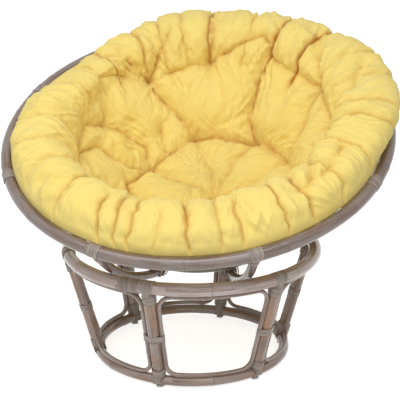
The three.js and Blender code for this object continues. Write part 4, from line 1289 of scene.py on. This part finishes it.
# the faces of a square sheet with this many squares a side
def sheetFaces(count):
    i, j = np.meshgrid(np.arange(count), np.arange(count), indexing="ij")
    a = i * (count + 1) + j
    return np.stack([a, a + count + 1, a + count + 2, a + 1], -1).reshape(-1, 4)


# a square grid read off at another number of rows: a smooth curve through its values along each side
def resampled(grid, count):
    size = len(grid)
    at = np.linspace(0, size - 1, count)
    k = np.minimum(at.astype(int), size - 2)
    f = at - k
    shares = np.zeros((count, size))
    for offset, share in ((-1, -0.5 * f + f ** 2 - 0.5 * f ** 3), (0, 1 - 2.5 * f ** 2 + 1.5 * f ** 3),
                          (1, 0.5 * f + 2 * f ** 2 - 1.5 * f ** 3), (2, -0.5 * f ** 2 + 0.5 * f ** 3)):
        np.add.at(shares, (np.arange(count), np.clip(k + offset, 0, size - 1)), share)
    return np.einsum("ik,kld->ild", shares, np.einsum("jl,kld->kjd", shares, grid))


cottonLook = {
    # the second colour is painted shade, a deep orange laid into the creases and pits; the third comes in
    # soft random clouds
    "cloth": (0.86, 0.665, 0.185), "shadeColour": (0.5, 0.2, 0.015), "pale": (0.85, 0.7, 0.25),
    "paleShare": 0.35, "shadeColourShare": 0.9, "cloudScale": 7.0, "cloudFrom": 0.35, "cloudTo": 0.7,
    "cloudDetail": 4.0, "cloudFine": 0.6,
    "weaveScale": 900.0, "weaveDetail": 2.0, "weave": 0.25, "weaveDepth": 0.0006,
    "crumpleScale": 38.0, "crumpleDetail": 6.0, "crumpleFine": 0.62, "crumple": 0.35, "crumpleDepth": 0.004,
    "roughness": 0.85, "sheen": 0.15, "sheenRoughness": 0.5, "specular": 0.2,
}


# cotton: pale in soft random clouds, with painted shade of a deeper orange in the creases, a fine weave,
# small crumples and soft fuzz
def makeCotton():
    look = cottonLook
    material, tree = newMaterial("yellow cotton")
    place = addNode(tree, "ShaderNodeTexCoord").outputs["Object"]
    cloud = noiseAt(tree, place, look["cloudScale"], look["cloudDetail"], Roughness=look["cloudFine"])
    clouds = ramp(tree, cloud, look["cloudFrom"], look["cloudTo"])
    clouded = mathNode(tree, "MULTIPLY", clouds, look["paleShare"])
    plain = mixColours(tree, clouded, look["cloth"], look["pale"])
    # painted shade: the creaseDepth attribute carries the crease shade, which mixes the cloth towards the
    # deep orange
    deep = mathNode(tree, "MULTIPLY", carried(tree, "creaseDepth"), look["shadeColourShare"])
    weave = noiseAt(tree, place, look["weaveScale"], look["weaveDetail"])
    crumple = noiseAt(tree, place, look["crumpleScale"], look["crumpleDetail"], Roughness=look["crumpleFine"],
                      noise_type="RIDGED_MULTIFRACTAL", normalize=True)
    fine = addNode(tree, "ShaderNodeBump", Strength=look["weave"], Distance=look["weaveDepth"])
    soft = addNode(tree, "ShaderNodeBump", Strength=look["crumple"], Distance=look["crumpleDepth"])
    feed(tree, fine, {"Height": weave})
    feed(tree, soft, {"Height": crumple, "Normal": fine.outputs["Normal"]})
    finishShader(tree, {
        "Base Color": mixColours(tree, deep, plain, look["shadeColour"]), "Normal": soft.outputs["Normal"],
        "Roughness": look["roughness"], "Specular IOR Level": look["specular"],
        "Sheen Weight": look["sheen"], "Sheen Roughness": look["sheenRoughness"],
    })
    return material


padTop = {
    "calm": 0.1, "seam": 0.03, "holdWidth": 0.006, "heldFrom": 0.97,
    # the painted crease shade: its share in the sharp core, the widths of core and halo, and how it weakens
    # towards the rim
    "shadeCore": 0.85, "coreWidth": 0.004, "haloWidth": 0.016, "shadeFade": 0.16, "shadeAtRim": 0.25,
}


# the top: the plain form, puffed and sunk along its normals, moved as cloth and wrinkled, still at its edge
# the painted crease shade: a darker colour in a core and a halo that die out with the distance, and weaker at
# the rim
def makeTop():
    count = cushion["columns"]
    share, disc = discGrid(count)
    plain = sectionPoint(topControls, disc, share)
    normals = gridNormals(plain)
    if normals[count // 2, count // 2, 2] < 0:
        normals = -normals
    calm = np.clip((1 - share) / padTop["calm"], 0, 1)
    calm = calm * calm * (3 - 2 * calm)
    puff, depth, nearest = sewing(plain, share)
    sunk = depth * np.clip((1 - share) / padTop["seam"], 0, 1)
    sewn = plain + normals * (puff * calm - sunk)[..., None]
    coarse = cushion["clothColumns"] + 1
    near, out = np.moveaxis(resampled(np.stack([nearest, share], -1), coarse), -1, 0)
    hold = np.maximum(np.exp(-near / padTop["holdWidth"]), (out > padTop["heldFrom"]) * 1.0)
    move = inflate(resampled(sewn, coarse), np.clip(hold, 0, 1))
    sewn = sewn + resampled(move, count + 1) * calm[..., None]
    top = offRim(sewn + normals * (wrinkles(plain, disc, share) * calm)[..., None])
    # painted shade along the creases, pleats and tufts, weaker towards the rim
    fade = np.clip((1 - share) / padTop["shadeFade"], 0, 1)
    core = padTop["shadeCore"]
    paintedShade = core * np.exp(-nearest / padTop["coreWidth"]) + (1 - core) * np.exp(-nearest / padTop["haloWidth"])
    return top.reshape(-1, 3), paintedShade.ravel() * (padTop["shadeAtRim"] + (1 - padTop["shadeAtRim"]) * fade).ravel()


# the underside below the angles of the top's edge: the plain form, pressed in along spokes and a ring,
# in gathers and crumples and under each tuft; and the painted shade of its creases
def makeUnderside(a):
    rows = cushion["underRows"]
    share = np.linspace(0, 1, rows + 1)[1:]
    under = sectionPoint(underControls, np.tile(a, (rows, 1)), np.repeat(share[:, None], len(a), 1))
    wide = np.hypot(under[..., 0], under[..., 1])
    bend = noise(under * underneath["bendRate"] + underneath["bendStart"])
    bent = np.arctan2(under[..., 0], -under[..., 1]) + underneath["bend"] * bend
    turns = np.radians(underneath["spokes"])
    spokes = [wide * np.abs(np.angle(np.exp(1j * (bent - turn)))) for turn in turns]
    away = np.min(spokes, 0) + underneath["middleOff"] * np.clip(underneath["middle"] - wide, 0, 1)
    waver = underneath["ringWaver"] * noise(under * underneath["ringRate"])
    away = np.minimum(away, np.abs(wide - underneath["ring"] + waver))
    sharp = lambda values: np.abs(values) ** underneath["sharp"]
    soft = underneath["creaseDepth"] * groove(away, underneath["creaseWidth"], underneath["creaseCore"])
    gathering = sharp(roundNoise(bent, underneath["gatherRate"], wide * underneath["gatherOut"]))
    soft += underneath["gather"] * np.clip(wide / underneath["gatherFull"], 0, 1) ** 2 * gathering
    soft += sum(size * sharp(noise(under * rate + start)) for size, rate, start in underneath["crumples"])
    for turn, radius in tufts:
        at = spoke(math.radians(turn)) * radius
        off = np.hypot(under[..., 0] - at[0], under[..., 1] - at[1])
        soft += underneath["dent"] * np.exp(-off / underneath["dentWidth"])
    fade = np.clip(share / underneath["fade"], 0, 1)[:, None]
    # painted shade along the spokes and the ring of creases
    paintedShade = underneath["paintedShade"] * np.exp(-away / underneath["shadeWidth"]) * fade
    return under + unit(-under + 1e-9) * (soft * fade)[..., None], paintedShade[:-1].ravel()


# the pad: the top's square sheet, and rows of the underside from the sheet's own edge to a middle point
def makeCushion():
    count, rows = cushion["columns"], cushion["underRows"]
    top, topShade = makeTop()
    side, far = np.arange(count), count * (count + 1)
    back = side[::-1] + 1
    edge = np.concatenate([side * (count + 1), far + side, back * (count + 1) + count, back])
    under, underShade = makeUnderside(np.arctan2(top[edge, 0], -top[edge, 1]))
    verts = np.concatenate([top, under[:-1].reshape(-1, 3), under[-1].mean(0)[None]])
    around, middle = len(edge), len(verts) - 1
    rings = np.concatenate([edge[None], np.arange((rows - 1) * around).reshape(rows - 1, around) + len(top)])
    here, ahead = rings[:-1], rings[1:]
    sideFaces = np.stack([here, ahead, np.roll(ahead, -1, 1), np.roll(here, -1, 1)], -1).reshape(-1, 4)
    capFaces = np.stack([rings[-1], np.full(around, middle), np.roll(rings[-1], -1)], -1)
    faces = sheetFaces(count).tolist() + sideFaces.tolist() + capFaces.tolist()
    # the creaseDepth attribute carries the painted crease shade of the top and the underside
    pad = meshPiece("cushion_pad", onBowl(verts), faces, makeCotton(),
                    creaseDepth=np.concatenate([topShade, underShade, [0]]))
    pad.data.validate()
    pad.data.update()
    volume = signedVolume(pad.data)
    if volume < 0:
        pad.data.flip_normals()
    finishPiece(pad, "cushion", "cotton", "cushion")
    print("cushion made", len(verts), "points, volume", round(volume, 4))


# the sum over all triangles of the volume between each and the origin; below zero if faces point inwards
def signedVolume(mesh):
    mesh.calc_loop_triangles()
    corners = np.empty(len(mesh.loop_triangles) * 3, np.int32)
    mesh.loop_triangles.foreach_get("vertices", corners)
    places = np.empty(len(mesh.vertices) * 3, np.float32)
    mesh.vertices.foreach_get("co", places)
    t = places.reshape(-1, 3)[corners.reshape(-1, 3)].astype(float)
    return float((t[:, 0] * np.cross(t[:, 1], t[:, 2])).sum() / 6)


makeCushion()


# Stage: pale floor, soft light and the camera of the photo

view = {"azimuth": 10.5, "elevation": 19.11, "distance": 3.5867, "aimHeight": 0.3, "aimAcross": 0.0188,
        "lens": 114.78, "sensor": 36.0, "shiftX": 0.0041, "shiftY": 0.1279, "sightEnd": 50}


# the camera stands off a point beside the base's axis, at a level angle from the front and an angle above it
def makeCamera():
    a, e = math.radians(view["azimuth"]), math.radians(view["elevation"])
    back = Vector((math.sin(a) * math.cos(e), -math.cos(a) * math.cos(e), math.sin(e)))
    aim = Vector(baseAxis) + Vector((math.cos(a), math.sin(a), 0)) * view["aimAcross"]
    aim.z = view["aimHeight"]
    data = bpy.data.cameras.new("photo camera")
    data.lens, data.sensor_width = view["lens"], view["sensor"]
    data.shift_x, data.shift_y = view["shiftX"], view["shiftY"]
    data.clip_end = view["sightEnd"]
    camera = bpy.data.objects.new("photo camera", data)
    camera.location = aim + back * view["distance"]
    camera.rotation_mode = "QUATERNION"
    camera.rotation_quaternion = (-back).to_track_quat("-Z", "Y")
    bpy.context.scene.collection.objects.link(camera)
    bpy.context.scene.camera = camera


light = {"world": 0.5, "floor": 0.8, "floorGlow": 0.74, "floorReach": 12.0}

# name, place, what it is turned to, its two sizes, watts and colour
lamps = [
    ("key lamp", (-0.25, -1.4, 2.7), (0, 0, 0.45), (3.0, 1.1), 37.5, (0.97, 0.985, 1)),
    ("strip lamp", (-0.2, -2.4, 2.0), (0, 0, 0.4), (3.4, 0.16), 13, (0.86, 0.93, 1)),
    ("fill lamp", (1.2, -3.2, 0.9), (0, 0, 0.3), (1.6, 1.2), 10, (1, 1, 1)),
]


# a rectangular lamp turned to a point
def makeLamp(name, place, aim, size, power, colour):
    data = bpy.data.lights.new(name, "AREA")
    data.shape, data.energy, data.color = "RECTANGLE", power, colour
    data.size, data.size_y = size
    lamp = bpy.data.objects.new(name, data)
    lamp.location = place
    lamp.rotation_mode = "QUATERNION"
    lamp.rotation_quaternion = (Vector(aim) - Vector(place)).to_track_quat("-Z", "Y")
    bpy.context.scene.collection.objects.link(lamp)


# shows one shader to the eye, in a gloss and in a glass, and lights the scene with the other
def seenOrLighting(tree, lighting, seen, output):
    rays = addNode(tree, "ShaderNodeLightPath")
    either = mathNode(tree, "ADD", rays.outputs["Is Camera Ray"], rays.outputs["Is Glossy Ray"], clamp=True)
    either = mathNode(tree, "ADD", either, rays.outputs["Is Transmission Ray"], clamp=True)
    mix = feed(tree, tree.nodes.new("ShaderNodeMixShader"), {0: either, 1: lighting, 2: seen})
    link(tree, mix, "Shader", addNode(tree, output), "Surface")


# a floor that looks white except for the object's shadow
def makeFloor():
    reach = light["floorReach"]
    mesh = bpy.data.meshes.new("floor")
    mesh.from_pydata([(-reach, -reach, 0), (reach, -reach, 0), (reach, reach, 0), (-reach, reach, 0)], [],
                     [(0, 1, 2, 3)])
    floor = bpy.data.objects.new("floor", mesh)
    bpy.context.scene.collection.objects.link(floor)
    material, tree = newMaterial("pale floor")
    matt = addNode(tree, "ShaderNodeBsdfDiffuse", Color=(light["floor"],) * 3 + (1,)).outputs["BSDF"]
    glow = addNode(tree, "ShaderNodeEmission", Color=(1, 1, 1, 1), Strength=light["floorGlow"])
    bright = feed(tree, tree.nodes.new("ShaderNodeAddShader"), {0: matt, 1: glow.outputs["Emission"]})
    seenOrLighting(tree, matt, bright.outputs["Shader"], "ShaderNodeOutputMaterial")
    mesh.materials.append(material)


# a world that looks white and lights at a lower strength
def makeWorld():
    world = bpy.data.worlds.new("soft studio")
    world.use_nodes = True
    tree = world.node_tree
    tree.nodes.clear()
    soft, plain = (addNode(tree, "ShaderNodeBackground", Color=(1, 1, 1, 1), Strength=strength)
                   for strength in (light["world"], 1.0))
    seenOrLighting(tree, soft.outputs["Background"], plain.outputs["Background"], "ShaderNodeOutputWorld")
    bpy.context.scene.world = world


makeCamera()
makeFloor()
makeWorld()
for lamp in lamps:
    makeLamp(*lamp)
bpy.context.scene.view_settings.view_transform = "Standard"
print("stage made")
